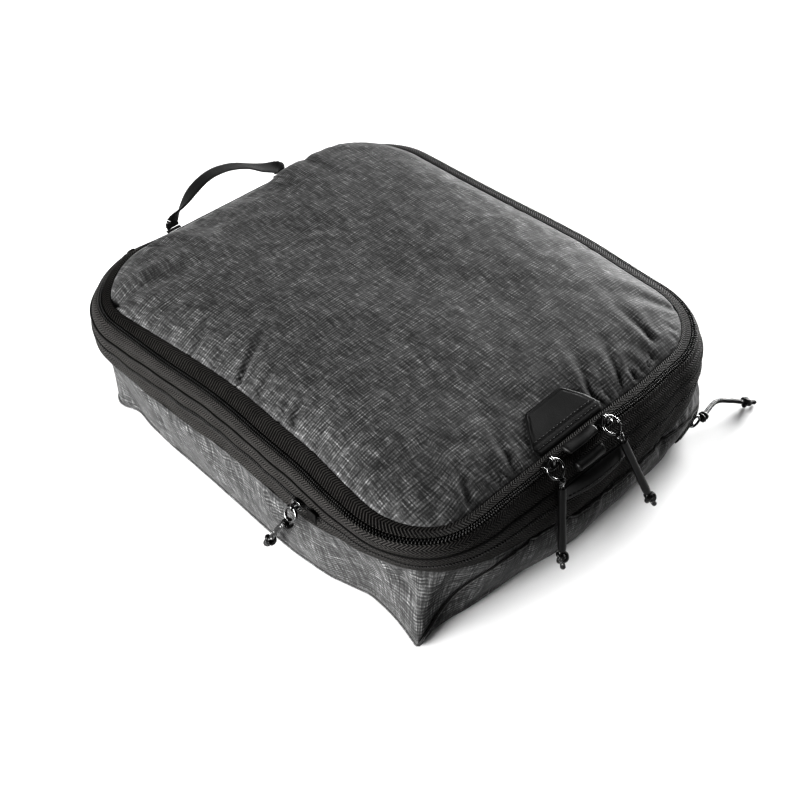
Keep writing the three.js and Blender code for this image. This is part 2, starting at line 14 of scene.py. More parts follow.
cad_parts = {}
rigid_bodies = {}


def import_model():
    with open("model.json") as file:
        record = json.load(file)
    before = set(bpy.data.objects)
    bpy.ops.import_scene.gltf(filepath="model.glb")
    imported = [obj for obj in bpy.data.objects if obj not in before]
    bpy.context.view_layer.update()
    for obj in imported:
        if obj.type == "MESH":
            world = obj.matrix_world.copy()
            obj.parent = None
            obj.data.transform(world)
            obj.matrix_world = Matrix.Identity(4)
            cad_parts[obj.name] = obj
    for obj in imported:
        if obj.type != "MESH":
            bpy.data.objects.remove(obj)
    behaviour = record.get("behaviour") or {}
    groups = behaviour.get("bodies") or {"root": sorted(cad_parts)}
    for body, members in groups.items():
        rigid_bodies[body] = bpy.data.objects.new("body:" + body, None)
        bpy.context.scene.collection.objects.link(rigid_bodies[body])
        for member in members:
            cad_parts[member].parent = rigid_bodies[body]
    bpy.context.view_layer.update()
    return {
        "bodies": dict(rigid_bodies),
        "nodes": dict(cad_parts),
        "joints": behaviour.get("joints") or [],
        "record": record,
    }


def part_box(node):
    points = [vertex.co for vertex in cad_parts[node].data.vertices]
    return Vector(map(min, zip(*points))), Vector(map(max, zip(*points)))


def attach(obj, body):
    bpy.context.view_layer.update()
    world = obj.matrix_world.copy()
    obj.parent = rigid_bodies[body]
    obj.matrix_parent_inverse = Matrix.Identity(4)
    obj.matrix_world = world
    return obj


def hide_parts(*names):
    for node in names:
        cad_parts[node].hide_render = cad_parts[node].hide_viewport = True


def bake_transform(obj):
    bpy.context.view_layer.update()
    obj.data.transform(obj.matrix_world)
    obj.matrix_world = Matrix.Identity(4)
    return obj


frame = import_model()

MM = 0.001

# ---- Sizes that the CAD model fixes, in metres -------------------------------------------

SEAM_HALF_X = 0.136
SEAM_HALF_Y = 0.166
SEAM_RADIUS = 0.052
STRAIGHT_X = SEAM_HALF_X - SEAM_RADIUS
STRAIGHT_Y = SEAM_HALF_Y - SEAM_RADIUS
SEAM_Z = 0.084
CROWN_HEIGHT = 0.016
CROWN_POWER = 6
WALL_TOP_Z = 0.0423
WALL_TOP_OFFSET = 0.013
BASE_HALF_X = 0.147
BASE_FRONT = -0.173
BASE_REAR = 0.131
BASE_RADII = (0.040, 0.010, 0.010, 0.006)
FOOT_Z = 0.0016
ACCESS_ZIP_Z = 0.015
CLOTH = 0.0011
TAPE = 0.001

QUARTER = SEAM_RADIUS * math.pi / 2
RUNS = [2 * STRAIGHT_X, QUARTER, 2 * STRAIGHT_Y, QUARTER] * 2
BREAKS = np.concatenate([[0.0], np.cumsum(RUNS)])
PERIMETER = float(BREAKS[-1])
STATIONS = 720


def smoothstep(x, low, high):
    """Rises smoothly from 0 at low to 1 at high."""
    t = np.clip((x - low) / (high - low), 0, 1)
    return t * t * (3 - 2 * t)


def unit(vectors):
    """The vectors at length 1."""
    return vectors / np.linalg.norm(vectors, axis=-1)[..., None]


# ---- Plan outlines -----------------------------------------------------------------------
# A place round the bag is its arc length on the lid's seam, from the middle of the front edge
# towards +X. Every other outline has its points at the same stations, so that loops line up.


def rounded_plan(s, half_x, front, rear, radii):
    """Points and outward directions of a rounded rectangle at the seam's stations s."""
    s = (np.asarray(s, float) + STRAIGHT_X) % PERIMETER
    run = np.clip(np.searchsorted(BREAKS, s, side="right") - 1, 0, 7)
    share = (s - BREAKS[run]) / (BREAKS[run + 1] - BREAKS[run])
    r = np.array(radii)
    middles = np.array(
        [
            [half_x - r[0], front + r[0]],
            [half_x - r[1], rear - r[1]],
            [-half_x + r[2], rear - r[2]],
            [-half_x + r[3], front + r[3]],
        ]
    )
    corner = run // 2
    turning = run % 2 == 1
    angle = np.radians(-90 + 90 * (corner + np.where(turning, share, 0.0)))
    out = np.stack([np.cos(angle), np.sin(angle)], -1)
    on_corner = middles[corner] + out * r[corner][..., None]
    begin = middles[corner - 1] + out * r[corner - 1][..., None]
    finish = middles[corner] + out * r[corner][..., None]
    on_side = begin + (finish - begin) * share[..., None]
    return np.where(turning[..., None], on_corner, on_side), out


def seam_plan(s):
    """Points and outward directions of the lid's seam."""
    return rounded_plan(s, SEAM_HALF_X, -SEAM_HALF_Y, SEAM_HALF_Y, [SEAM_RADIUS] * 4)


def outline_of_base(s):
    """The base's outline at the seam's stations, before the corners are matched."""
    return rounded_plan(s, BASE_HALF_X, BASE_FRONT, BASE_REAR, BASE_RADII)


def base_stations():
    """Two tables that carry a station on the seam to one on the base outline, so that the middles
    of their corners meet and the lengths between are shared out evenly."""
    fine = np.linspace(0, PERIMETER, 6001)
    points, _ = outline_of_base(fine)
    length = np.concatenate([[0], np.cumsum(np.linalg.norm(np.diff(points, axis=0), axis=1))])
    middles = BREAKS[[1, 3, 5, 7]] - STRAIGHT_X + QUARTER / 2
    at_middles = np.interp(middles, fine, length)
    seam_s = np.concatenate([[middles[-1] - PERIMETER], middles, [middles[0] + PERIMETER]])
    base_l = np.concatenate([[at_middles[-1] - length[-1]], at_middles, [at_middles[0] + length[-1]]])
    return seam_s, base_l, fine, length


BASE_TABLES = base_stations()


def base_plan(s):
    """The base's outline with its corners under the seam's corners."""
    seam_s, base_l, fine, length = BASE_TABLES
    along = np.interp(np.asarray(s, float) % PERIMETER, seam_s, base_l) % length[-1]
    return outline_of_base(np.interp(along, length, fine))


def round_the_bag(keys, softness=0.008):
    """A smooth function of arc length through (arc length, value) keys, both in millimetres."""
    at, value = np.array(keys, float).T * MM
    grid = np.arange(STATIONS) * PERIMETER / STATIONS
    raw = np.interp(
        grid,
        np.concatenate([at - PERIMETER, at, at + PERIMETER]),
        np.tile(value, 3),
    )
    waves = np.fft.rfftfreq(STATIONS, PERIMETER / STATIONS)
    table = np.fft.irfft(np.fft.rfft(raw) * np.exp(-2 * (math.pi * waves * softness) ** 2), STATIONS)
    grid = np.append(grid, PERIMETER)
    table = np.append(table, table[0])
    return lambda s: np.interp(np.asarray(s) % PERIMETER, grid, table)


# How far the stuffed cloth stands out of the CAD outline: at the lid's seam, at the lower edge
# of the zip band, and at the floor. The keys were read off the photo through the fitted camera.
RIM_SWELL = round_the_bag(
    [(0, 0.5), (53, 2.2), (79, 0), (125, 0), (166, -0.5), (199, 2), (227, 4.5), (273, 3.5)]
    + [(297, 2), (340, 0.6), (394, 0), (420, 0), (670, 0), (690, 1.5), (710, 6.5), (726, 5.6)]
    + [(747, 3), (774, 0), (800, -3), (826, -5), (850, -5), (872, -4), (892, -3.8)]
    + [(913, -3), (936, 0.4), (956, 1.5), (971, 4.8), (985, 6.6), (1000, 7.6), (1013, 5.2)]
    + [(1022, 1), (1035, 0), (1052, 0.6)]
)
HEM_SWELL = round_the_bag(
    [(0, 9.8), (37, 9.4), (64, 6.8), (84, 4.5), (125, 2), (166, 2), (230, 4), (300, 3), (393, 1)]
    + [(420, 0), (655, 1), (676, 7), (694, 8.5), (708, 6), (728, 4), (756, 4.7), (778, 2.6)]
    + [(801, 2.1), (822, 0), (843, -0.8), (864, -0.4), (884, -0.4), (922, -0.2), (953, -8)]
    + [(970, -10), (993, -8.1), (1001, -7.3), (1016, -6.4), (1027, -3.7), (1042, -0.6)]
    + [(1059, 2.1), (1075, 5.4), (1091, 9)]
)
FOOT_SWELL = round_the_bag(
    [(9, 9.9), (26, 9.6), (43, 10.5), (57, 11.3), (73, 9.6), (90, 4), (105, 1), (125, 0), (166, 0)]
    + [(230, 3), (300, 4), (380, 1), (420, -1), (560, 2), (640, 1), (668, 5), (680, 7), (693, 4.7)]
    + [(705, 0), (724, 2.6), (752, 3.1), (840, 3.5), (867, 3.6), (886, 2.8), (903, 1), (917, -1)]
    + [(933, -5.6), (945, -9), (956, -8.7), (968, -7.8), (980, -5.6), (988, -3.6), (994, -1.8)]
    + [(1004, -4.5), (1011, -4.6), (1020, -3.1), (1029, 0), (1041, 2.1), (1052, 3.4), (1067, 5.4)]
    + [(1078, 8.2), (1089, 11.2), (1108, 13)],
    0.003,
)
# How far the main zip lies beyond its place in the CAD model, where the lid's cloth is pulled
# over the sides, and how far its tape is turned down at the back.
ZIP_SHIFT = round_the_bag(
    [(0, 0), (84, 0), (125, 1.2), (180, 1.6), (280, 0.8), (360, 0.6), (400, 0), (690, 0)]
    + [(720, 1.2), (780, 4.6), (880, 5.2), (930, 4.6), (975, 2.6), (994, 1.3), (1035, 0)],
    0.012,
)
REAR_DROP = round_the_bag([(0, 0), (400, 0), (450, 6.2), (630, 6.2), (690, 0), (1118, 0)], 0.012)


def swell(s, z):
    """Outward shift of the band's cloth at station s and height z."""
    low = np.clip((SEAM_Z - np.asarray(z)) / (SEAM_Z - 0.042), 0, 1) ** 1.2
    ripple = 0.00035 * np.sin(2 * math.pi * 23 * s / PERIMETER + 90 * z)
    ripple += 0.0003 * np.sin(2 * math.pi * 41 * s / PERIMETER - 140 * z + 2)
    return RIM_SWELL(s) * (1 - low) + HEM_SWELL(s) * low + ripple * np.sqrt(low)


def band_points(s, offset, z):
    """Points of the band at stations s, offset outward from the seam, at height z."""
    plan, out = seam_plan(s)
    upper = smoothstep(z, 0.0672, 0.0815)
    beyond = smoothstep(offset, 0.0, 0.0055) * upper
    outward = offset + swell(s, z) + ZIP_SHIFT(s) * beyond
    down = ZIP_SHIFT(s) * 0.62 * beyond + REAR_DROP(s) * np.clip(offset / 0.0075, 0, 1) * upper
    flat = plan + out * outward[..., None]
    return np.concatenate([flat, np.broadcast_to(z - down, flat.shape[:-1])[..., None]], -1)


# ---- Meshes ------------------------------------------------------------------------------


def new_object(name, verts, faces, material, uvs=None, smooth_below=180.0):
    """A mesh object from points in metres. uvs holds one pair for each corner of each face."""
    mesh = bpy.data.meshes.new(name)
    mesh.from_pydata(np.asarray(verts, float).tolist(), [], [list(map(int, f)) for f in faces])
    if uvs is not None:
        layer = mesh.uv_layers.new(name="cloth")
        layer.data.foreach_set("uv", np.asarray(uvs, np.float32).ravel())
    materials = material if isinstance(material, (list, tuple)) else [material]
    for one in materials:
        mesh.materials.append(one)
    mesh.polygons.foreach_set("use_smooth", [True] * len(mesh.polygons))
    obj = bpy.data.objects.new(name, mesh)
    bpy.context.scene.collection.objects.link(obj)
    if smooth_below < 180:
        mark_sharp(mesh, smooth_below)
    return obj


def mark_sharp(mesh, degrees):
    """Edges that turn by more than that many degrees stay crisp."""
    bm = bmesh.new()
    bm.from_mesh(mesh)
    limit = math.radians(degrees)
    for edge in bm.edges:
        if len(edge.link_faces) == 2 and edge.calc_face_angle(0.0) > limit:
            edge.smooth = False
    bm.to_mesh(mesh)
    bm.free()


def lattice(name, points, u, v, material, loop_u=True, loop_v=True, smooth_below=180.0):
    """A quad mesh over points[i, j]. u and v are places on the flat cloth, one more than the
    rows or columns where that way is closed."""
    n, m = points.shape[:2]
    rows = np.arange(n if loop_u else n - 1)
    columns = np.arange(m if loop_v else m - 1)
    i, j = np.meshgrid(rows, columns, indexing="ij")
    i2, j2 = (i + 1) % n, (j + 1) % m
    quads = np.stack([i * m + j, i2 * m + j, i2 * m + j2, i * m + j2], -1).reshape(-1, 4)
    u, v = np.asarray(u), np.asarray(v)
    corners = [(u[i], v[j]), (u[i + 1], v[j]), (u[i + 1], v[j + 1]), (u[i], v[j + 1])]
    uvs = np.stack([np.stack(c, -1) for c in corners], -2).reshape(-1, 2)
    verts = points.reshape(-1, 3)
    return new_object(name, verts, quads, material, uvs, smooth_below)


def along_lengths(points, closed=False):
    """Running length along a line of points."""
    line = np.concatenate([points, points[:1]]) if closed else points
    steps = np.linalg.norm(np.diff(line, axis=0), axis=1)
    return np.concatenate([[0.0], np.cumsum(steps)])


def along_line(line, at):
    """Points on a line at those running lengths."""
    run = along_lengths(line)
    return np.stack([np.interp(at, run, line[:, k]) for k in range(3)], -1)


def through(points, per_span):
    """A Catmull-Rom curve through points, open at both ends."""
    p = np.asarray(points, float)
    p = np.concatenate([[2 * p[0] - p[1]], p, [2 * p[-1] - p[-2]]])
    t = np.arange(per_span)[:, None] / per_span
    parts = []
    for a, b, c, d in zip(p[:-3], p[1:-2], p[2:-1], p[3:]):
        square = 2 * a - 5 * b + 4 * c - d
        cube = 3 * b - a - 3 * c + d
        parts.append(0.5 * (2 * b + (c - a) * t + square * t**2 + cube * t**3))
    return np.concatenate(parts + [p[-2:-1]])


def ring_stations(count=STATIONS):
    """Evenly spaced places round the bag."""
    return np.arange(count) * PERIMETER / count


def band_strip(name, profile, thickness, material, smooth_below=40.0):
    """A closed strip round the bag: profile is its outer face as (offset, height) in millimetres,
    from the bottom up, and the strip is that thick inward."""
    outer = through(np.array(profile) * MM, 3)
    along = unit(np.gradient(outer, axis=0))
    inner = outer - np.stack([along[:, 1], -along[:, 0]], -1) * thickness
    section = np.concatenate([outer, inner[::-1]])
    s = ring_stations()[:, None]
    heights = np.broadcast_to(section[None, :, 1], (STATIONS, len(section)))
    points = band_points(s, section[None, :, 0], heights)
    u = np.append(ring_stations(), PERIMETER)
    return lattice(name, points, u, along_lengths(section, True), material, smooth_below=smooth_below)


# A rib's half-round section, and its taper from end to end, in parts of its size.
RIB_SECTION = np.array([[-0.5, 0.0], [-0.42, 0.6], [-0.16, 1.0], [0.16, 1.0], [0.42, 0.6], [0.5, 0.0]])
RIB_ENDS = np.array([[-0.5, 0.55], [-0.36, 1.0], [0.36, 1.0], [0.5, 0.55]])


def ribs(name, centres, along, across, up, size, material):
    """One small rounded bar per centre, with size as its extents along, across and up."""
    section, ends = len(RIB_SECTION), len(RIB_ENDS)
    local = []
    for reach, scale in RIB_ENDS:
        for x, z in RIB_SECTION:
            local.append([x * scale * size[0], reach * size[1], z * scale * size[2]])
    local = np.array(local)
    frames = np.stack([along, across, up], 1)
    verts = centres[:, None] + np.einsum("kc,ncd->nkd", local, frames)
    faces = []
    for e in range(ends - 1):
        for k in range(section):
            k2 = (k + 1) % section
            here, after = e * section, (e + 1) * section
            faces.append([here + k, here + k2, after + k2, after + k])
    caps = [list(range(section))[::-1], list(range((ends - 1) * section, ends * section))]
    every = []
    for n in range(len(centres)):
        every += [[n * len(local) + v for v in face] for face in faces + caps]
    return new_object(name, verts.reshape(-1, 3), every, material)


def carried_frames(line):
    """Unit directions along a line and two across it, turning as little as they can."""
    along = unit(np.gradient(line, axis=0))
    side = np.cross(along[0], [0.31, 0.52, 0.79])
    sides = []
    for direction in along:
        side = side - direction * side.dot(direction)
        side = side / np.linalg.norm(side)
        sides.append(side)
    sides = np.array(sides)
    return along, sides, np.cross(along, sides)


def tube(name, line, radius, material, sides=12, closed=False, round_ends=True):
    """A round tube along a line. radius is one number or one for each point."""
    line = np.asarray(line, float)
    radii = np.broadcast_to(np.asarray(radius, float), (len(line),)).copy()
    along, a, b = carried_frames(line)
    if round_ends and not closed:
        lead, tail = along[0] * radii[0] * 0.6, along[-1] * radii[-1] * 0.6
        line = np.concatenate([[line[0] - lead], line, [line[-1] + tail]])
        radii = np.concatenate([[radii[0] * 0.55], radii, [radii[-1] * 0.55]])
        a, b = np.concatenate([a[:1], a, a[-1:]]), np.concatenate([b[:1], b, b[-1:]])
    turn = 2 * math.pi * np.arange(sides) / sides
    ring = np.cos(turn)[None, :, None] * a[:, None] + np.sin(turn)[None, :, None] * b[:, None]
    points = line[:, None] + ring * radii[:, None, None]
    u = along_lengths(line, closed)
    v = np.arange(sides + 1) * 2 * math.pi * float(np.mean(radii)) / sides
    obj = lattice(name, points, u, v, material, closed, True)
    if not closed:
        cap_ends(obj)
    return obj


def cap_ends(obj):
    """Closes every open rim with one face, and turns the faces outward."""
    bm = bmesh.new()
    bm.from_mesh(obj.data)
    rims = [e for e in bm.edges if len(e.link_faces) == 1]
    if rims:
        made = bmesh.ops.holes_fill(bm, edges=rims, sides=0)["faces"]
        for face in made:
            face.smooth = True
    bmesh.ops.recalc_face_normals(bm, faces=bm.faces)
    bm.to_mesh(obj.data)
    bm.free()


def face_outward(obj):
    """Turns a closed piece's faces outward."""
    bm = bmesh.new()
    bm.from_mesh(obj.data)
    bmesh.ops.recalc_face_normals(bm, faces=bm.faces)
    bm.to_mesh(obj.data)
    bm.free()


def turn_to_face(obj, direction, polygon=0):
    """Flips a sheet's normals if that polygon faces away from the direction."""
    if obj.data.polygons[polygon].normal.dot(Vector(direction)) < 0:
        obj.data.flip_normals()


def joined(name, parts):
    """Several mesh objects as one, with the first one's materials."""
    for part in parts:
        apply_modifiers(part)
    bm = bmesh.new()
    for part in parts:
        part.data.transform(part.matrix_world)
        bm.from_mesh(part.data)
    first = parts[0]
    bm.to_mesh(first.data)
    bm.free()
    for part in parts[1:]:
        bpy.data.objects.remove(part)
    first.matrix_world = Matrix.Identity(4)
    first.name = name
    first.data.name = name
    return first


def apply_modifiers(obj):
    """Makes the modifiers' result the object's own mesh."""
    if not obj.modifiers:
        return
    evaluated = obj.evaluated_get(bpy.context.evaluated_depsgraph_get())
    mesh = bpy.data.meshes.new_from_object(evaluated)
    obj.modifiers.clear()
    obj.data = mesh


def thicken(obj, thickness, inner_material=None):
    """Gives a sheet its thickness on the side away from its normals."""
    solid = obj.modifiers.new("thickness", "SOLIDIFY")
    solid.thickness = thickness
    solid.offset = -1
    solid.use_even_offset = False
    if inner_material is not None:
        obj.data.materials.append(inner_material)
        solid.material_offset = 1
    apply_modifiers(obj)
    return obj


def rounded_off(obj, width, levels=1, segments=2):
    """Bevels a hard-edged part and subdivides it, for a cast or moulded look."""
    bevel = obj.modifiers.new("bevel", "BEVEL")
    bevel.width = width
    bevel.segments = segments
    bevel.limit_method = "ANGLE"
    bevel.angle_limit = math.radians(25)
    if levels:
        soft = obj.modifiers.new("soft", "SUBSURF")
        soft.levels = soft.render_levels = levels
    apply_modifiers(obj)
    return obj


def placed(obj, body, slot, *nodes):
    """Puts a piece on its body, in the place of the CAD nodes named, which it hides. slot is not used."""
    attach(obj, body)
    if nodes:
        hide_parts(*nodes)
    return obj


# ---- Materials ---------------------------------------------------------------------------


class Shader:
    """A small helper that adds nodes to one material and links them."""

    def __init__(self, name):
        self.material = bpy.data.materials.new(name)
        self.material.use_nodes = True
        self.nodes = self.material.node_tree.nodes
        self.links = self.material.node_tree.links
        self.nodes.clear()
        self.output = self.nodes.new("ShaderNodeOutputMaterial")
        self.bsdf = self.nodes.new("ShaderNodeBsdfPrincipled")
        self.links.new(self.bsdf.outputs["BSDF"], self.output.inputs["Surface"])

    def put(self, value, socket):
        if isinstance(value, bpy.types.NodeSocket):
            self.links.new(value, socket)
        else:
            socket.default_value = value

    def set(self, **values):
        for key, value in values.items():
            self.put(value, self.bsdf.inputs[key.replace("_", " ")])

    def node(self, kind, inputs=(), **settings):
        made = self.nodes.new(kind)
        for key, value in settings.items():
            setattr(made, key, value)
        for socket, value in dict(inputs).items():
            self.put(value, made.inputs[socket])
        return made

    def math(self, operation, a, b=0.0):
        made = self.node("ShaderNodeMath", operation=operation)
        self.put(a, made.inputs[0])
        self.put(b, made.inputs[1])
        return made.outputs[0]

    def wave(self, value, rate):
        """The sine of value times rate."""
        return self.math("SINE", self.math("MULTIPLY", value, rate))

    def lifted(self, wave):
        """A wave moved from -1..1 to 0..1."""
        return self.math("ADD", self.math("MULTIPLY", wave, 0.5), 0.5)

    def flat(self, *scale):
        """The cloth's own coordinates, in metres, multiplied by scale."""
        uv = self.node("ShaderNodeUVMap", uv_map="cloth").outputs["UV"]
        made = self.node("ShaderNodeVectorMath", operation="MULTIPLY")
        self.put(uv, made.inputs[0])
        made.inputs[1].default_value = (scale[0], scale[1], 1.0)
        return made.outputs["Vector"]

    def solid(self, scale):
        """Object coordinates, in metres, multiplied by scale."""
        where = self.node("ShaderNodeTexCoord").outputs["Object"]
        made = self.node("ShaderNodeVectorMath", operation="SCALE")
        self.put(where, made.inputs[0])
        made.inputs["Scale"].default_value = scale
        return made.outputs["Vector"]

    def noise(self, vector, detail=2.0, roughness=0.6):
        made = self.node(
            "ShaderNodeTexNoise",
            {"Vector": vector, "Scale": 1.0, "Detail": detail, "Roughness": roughness},
        )
        return made.outputs["Fac"]

    def ramp(self, fac, stops):
        made = self.node("ShaderNodeValToRGB")
        self.put(fac, made.inputs["Fac"])
        elements = made.color_ramp.elements
        while len(elements) < len(stops):
            elements.new(0.5)
        for element, (position, colour) in zip(elements, stops):
            element.position = position
            element.color = (*colour, 1.0)
        return made.outputs["Color"]

    def bump(self, height, strength, distance):
        made = self.node(
            "ShaderNodeBump", {"Height": height, "Strength": strength, "Distance": distance}
        )
        self.put(made.outputs["Normal"], self.bsdf.inputs["Normal"])

    def spread(self, *terms):
        """0.5 plus each (noise, weight) pair's weight times its distance from 0.5."""
        total = 0.5
        for fac, weight in terms:
            centred = self.math("MULTIPLY", self.math("SUBTRACT", fac, 0.5), weight)
            total = self.math("ADD", centred, total)
        return total


def grey(value, warm=1.0):
    """A near-neutral colour of that linear lightness; warm above 1 leans to brown."""
    return (value * warm, value, value / warm)


def yarns(sh, across, along, pitch, reach, seed):
    """Tone of a set of parallel yarns: each keeps its own tone across its width, and the tone
    drifts along it over about reach metres."""
    number = sh.math("FLOOR", sh.math("DIVIDE", across, pitch))
    where = sh.node(
        "ShaderNodeCombineXYZ",
        {"X": sh.math("MULTIPLY", number, 7.31), "Y": sh.math("DIVIDE", along, reach), "Z": seed},
    )
    return sh.noise(where.outputs["Vector"], 2.0, 0.55)


def heather_material(name):
    """Charcoal melange: crossed yarns with long pale slubs, over a fine grain."""
    sh = Shader(name)
    split = sh.node("ShaderNodeSeparateXYZ", {"Vector": sh.flat(1, 1)})
    wander = sh.math("MULTIPLY", sh.math("SUBTRACT", sh.noise(sh.flat(55, 55), 2.0), 0.5), 0.0006)
    u = sh.math("ADD", split.outputs["X"], wander)
    v = sh.math("SUBTRACT", split.outputs["Y"], wander)
    warp = yarns(sh, u, v, 0.00075, 0.012, 1.0)
    weft = yarns(sh, v, u, 0.00095, 0.012, 9.0)
    groove = sh.lifted(sh.wave(v, 2 * math.pi / 0.0019))
    grain = sh.noise(sh.flat(1500, 900), 2.0, 0.75)
    cloud = sh.noise(sh.flat(60, 45), 3.0)
    tone = sh.spread((warp, 1.1), (weft, 0.75), (grain, 0.65), (groove, 0.22), (cloud, 0.15))
    stops = [(0.0, 0.013), (0.32, 0.025), (0.47, 0.040), (0.60, 0.064), (0.75, 0.112), (1.0, 0.26)]
    colour = sh.ramp(tone, [(p, grey(v)) for p, v in stops])
    sh.set(Base_Color=colour, Roughness=0.75, Specular_IOR_Level=0.16)
    sh.set(Sheen_Weight=0.06, Sheen_Roughness=0.45)
    sh.bump(sh.spread((warp, 0.4), (weft, 0.4), (grain, 0.5), (groove, 0.7)), 0.2, 0.0001)
    return sh.material


def lining_material():
    """Plain grey nylon: a fine square grid of ribs with slight cloudiness."""
    sh = Shader("lining")
    split = sh.node("ShaderNodeSeparateXYZ", {"Vector": sh.flat(1, 1)})
    x, y = split.outputs["X"], split.outputs["Y"]
    weave = sh.math("MULTIPLY", sh.wave(x, 6200.0), sh.wave(y, 6200.0))
    rib_x = sh.math("POWER", sh.math("ABSOLUTE", sh.wave(x, 620.0)), 24.0)
    rib_y = sh.math("POWER", sh.math("ABSOLUTE", sh.wave(y, 620.0)), 24.0)
    ripstop = sh.math("MAXIMUM", rib_x, rib_y)
    cloud = sh.noise(sh.flat(45, 45), 3.0)
    tone = sh.math("ADD", sh.spread((cloud, 0.6)), sh.math("MULTIPLY", ripstop, 0.18))
    colour = sh.ramp(tone, [(0.2, grey(0.030)), (0.8, grey(0.075))])
    sh.set(Base_Color=colour, Roughness=0.6, Specular_IOR_Level=0.4)
    sh.set(Sheen_Weight=0.15, Sheen_Roughness=0.4)
    sh.bump(sh.math("ADD", sh.math("MULTIPLY", weave, 0.3), ripstop), 0.35, 0.00015)
    return sh.material


def herringbone_material(name, pale, dark, pitch=0.0019, row=0.0030, warm=1.05):
    """Woven zip tape: slanting ribs that change hand from row to row."""
    sh = Shader(name)
    split = sh.node("ShaderNodeSeparateXYZ", {"Vector": sh.flat(1, 1)})
    zigzag = sh.math("PINGPONG", split.outputs["Y"], row)
    slanted = sh.math("ADD", split.outputs["X"], sh.math("MULTIPLY", zigzag, 0.9))
    rib = sh.lifted(sh.wave(slanted, 2 * math.pi / pitch))
    fuzz = sh.noise(sh.flat(1600, 1600), 2.0)
    cloud = sh.noise(sh.flat(70, 160), 3.0)
    tone = sh.spread((rib, 0.9), (fuzz, 1.2), (cloud, 0.5))
    middle = dark * 0.6 + pale * 0.4
    stops = [(0.15, dark), (0.6, middle), (1.0, pale)]
    colour = sh.ramp(tone, [(p, grey(v, warm)) for p, v in stops])
    sh.set(Base_Color=colour, Roughness=0.7, Specular_IOR_Level=0.12)
    sh.bump(sh.spread((rib, 1.0), (fuzz, 0.5)), 0.8, 0.0004)
    return sh.material


def coil_material():
    """Satin black nylon monofilament with a dusty variation."""
    sh = Shader("zip_nylon")
    grain = sh.noise(sh.solid(900.0), 2.0)
    cloud = sh.noise(sh.solid(60.0), 2.0)
    tone = sh.spread((grain, 0.6), (cloud, 0.8))
    colour = sh.ramp(tone, [(0.2, grey(0.008)), (0.9, grey(0.032, 1.03))])
    sh.set(Base_Color=colour, Roughness=0.48, Specular_IOR_Level=0.22)
    sh.bump(grain, 0.2, 0.0001)
    return sh.material


def webbing_material():
    """Narrow polyester strap: ribs across it, crossed by a finer lengthwise weave."""
    sh = Shader("strap_webbing")
    split = sh.node("ShaderNodeSeparateXYZ", {"Vector": sh.flat(1, 1)})
    rib = sh.wave(split.outputs["X"], 2 * math.pi / 0.0014)
    line = sh.wave(split.outputs["Y"], 2 * math.pi / 0.0009)
    weave = sh.lifted(sh.math("MULTIPLY", rib, line))
    fuzz = sh.noise(sh.flat(1500, 1500), 2.0)
    colour = sh.ramp(sh.spread((weave, 0.8), (fuzz, 0.8)), [(0.1, grey(0.003)), (0.9, grey(0.014))])
    sh.set(Base_Color=colour, Roughness=0.7, Specular_IOR_Level=0.18)
    sh.set(Sheen_Weight=0.05, Sheen_Roughness=0.4)
    sh.bump(sh.spread((weave, 1.0), (fuzz, 0.4)), 0.7, 0.0003)
    return sh.material


def coated_material(name, roughness, low, high):
    """Rubber-coated cloth: a fine pebble grain with soft scuffs."""
    sh = Shader(name)
    cells = sh.node("ShaderNodeTexVoronoi", {"Vector": sh.solid(1500.0), "Scale": 1.0})
    pebble = cells.outputs["Distance"]
    scuff = sh.noise(sh.solid(120.0), 4.0)
    cloud = sh.noise(sh.solid(35.0), 2.0)
    tone = sh.spread((scuff, 0.7), (cloud, 0.7), (pebble, 0.15))
    colour = sh.ramp(tone, [(0.25, grey(low)), (0.85, grey(high))])
    rough = sh.math("ADD", sh.math("MULTIPLY", scuff, 0.25), roughness - 0.12)
    sh.set(Base_Color=colour, Roughness=rough, Specular_IOR_Level=0.20)
    sh.bump(sh.spread((pebble, 0.8), (scuff, 0.6)), 0.3, 0.00012)
    return sh.material


def enamel_material():
    """Gloss black enamel over die-cast metal, with a painted highlight: its sharpest edges are painted
    paler, in noisy patches.
    """
    sh = Shader("black_enamel")
    edge = sh.node("ShaderNodeNewGeometry").outputs["Pointiness"]
    highlight_noise = sh.noise(sh.solid(1400.0), 3.0)
    # Painted highlight: the sharpest edges, picked by pointiness and broken up by noise, are painted a pale
    # grey.
    edge_highlight = sh.math("MULTIPLY", sh.math("SUBTRACT", edge, 0.53), sh.math("MULTIPLY", highlight_noise, 5.0))
    colour = sh.ramp(edge_highlight, [(0.0, grey(0.006)), (0.45, grey(0.012)), (1.0, grey(0.16, 1.04))])
    rough = sh.math("ADD", sh.math("MULTIPLY", sh.noise(sh.solid(500.0), 2.0), 0.22), 0.10)
    sh.set(Base_Color=colour, Roughness=rough, Metallic=0.35, Specular_IOR_Level=0.75)
    sh.set(Coat_Weight=1.0, Coat_Roughness=0.06)
    sh.bump(sh.noise(sh.solid(700.0), 2.0), 0.12, 0.0001)
    return sh.material


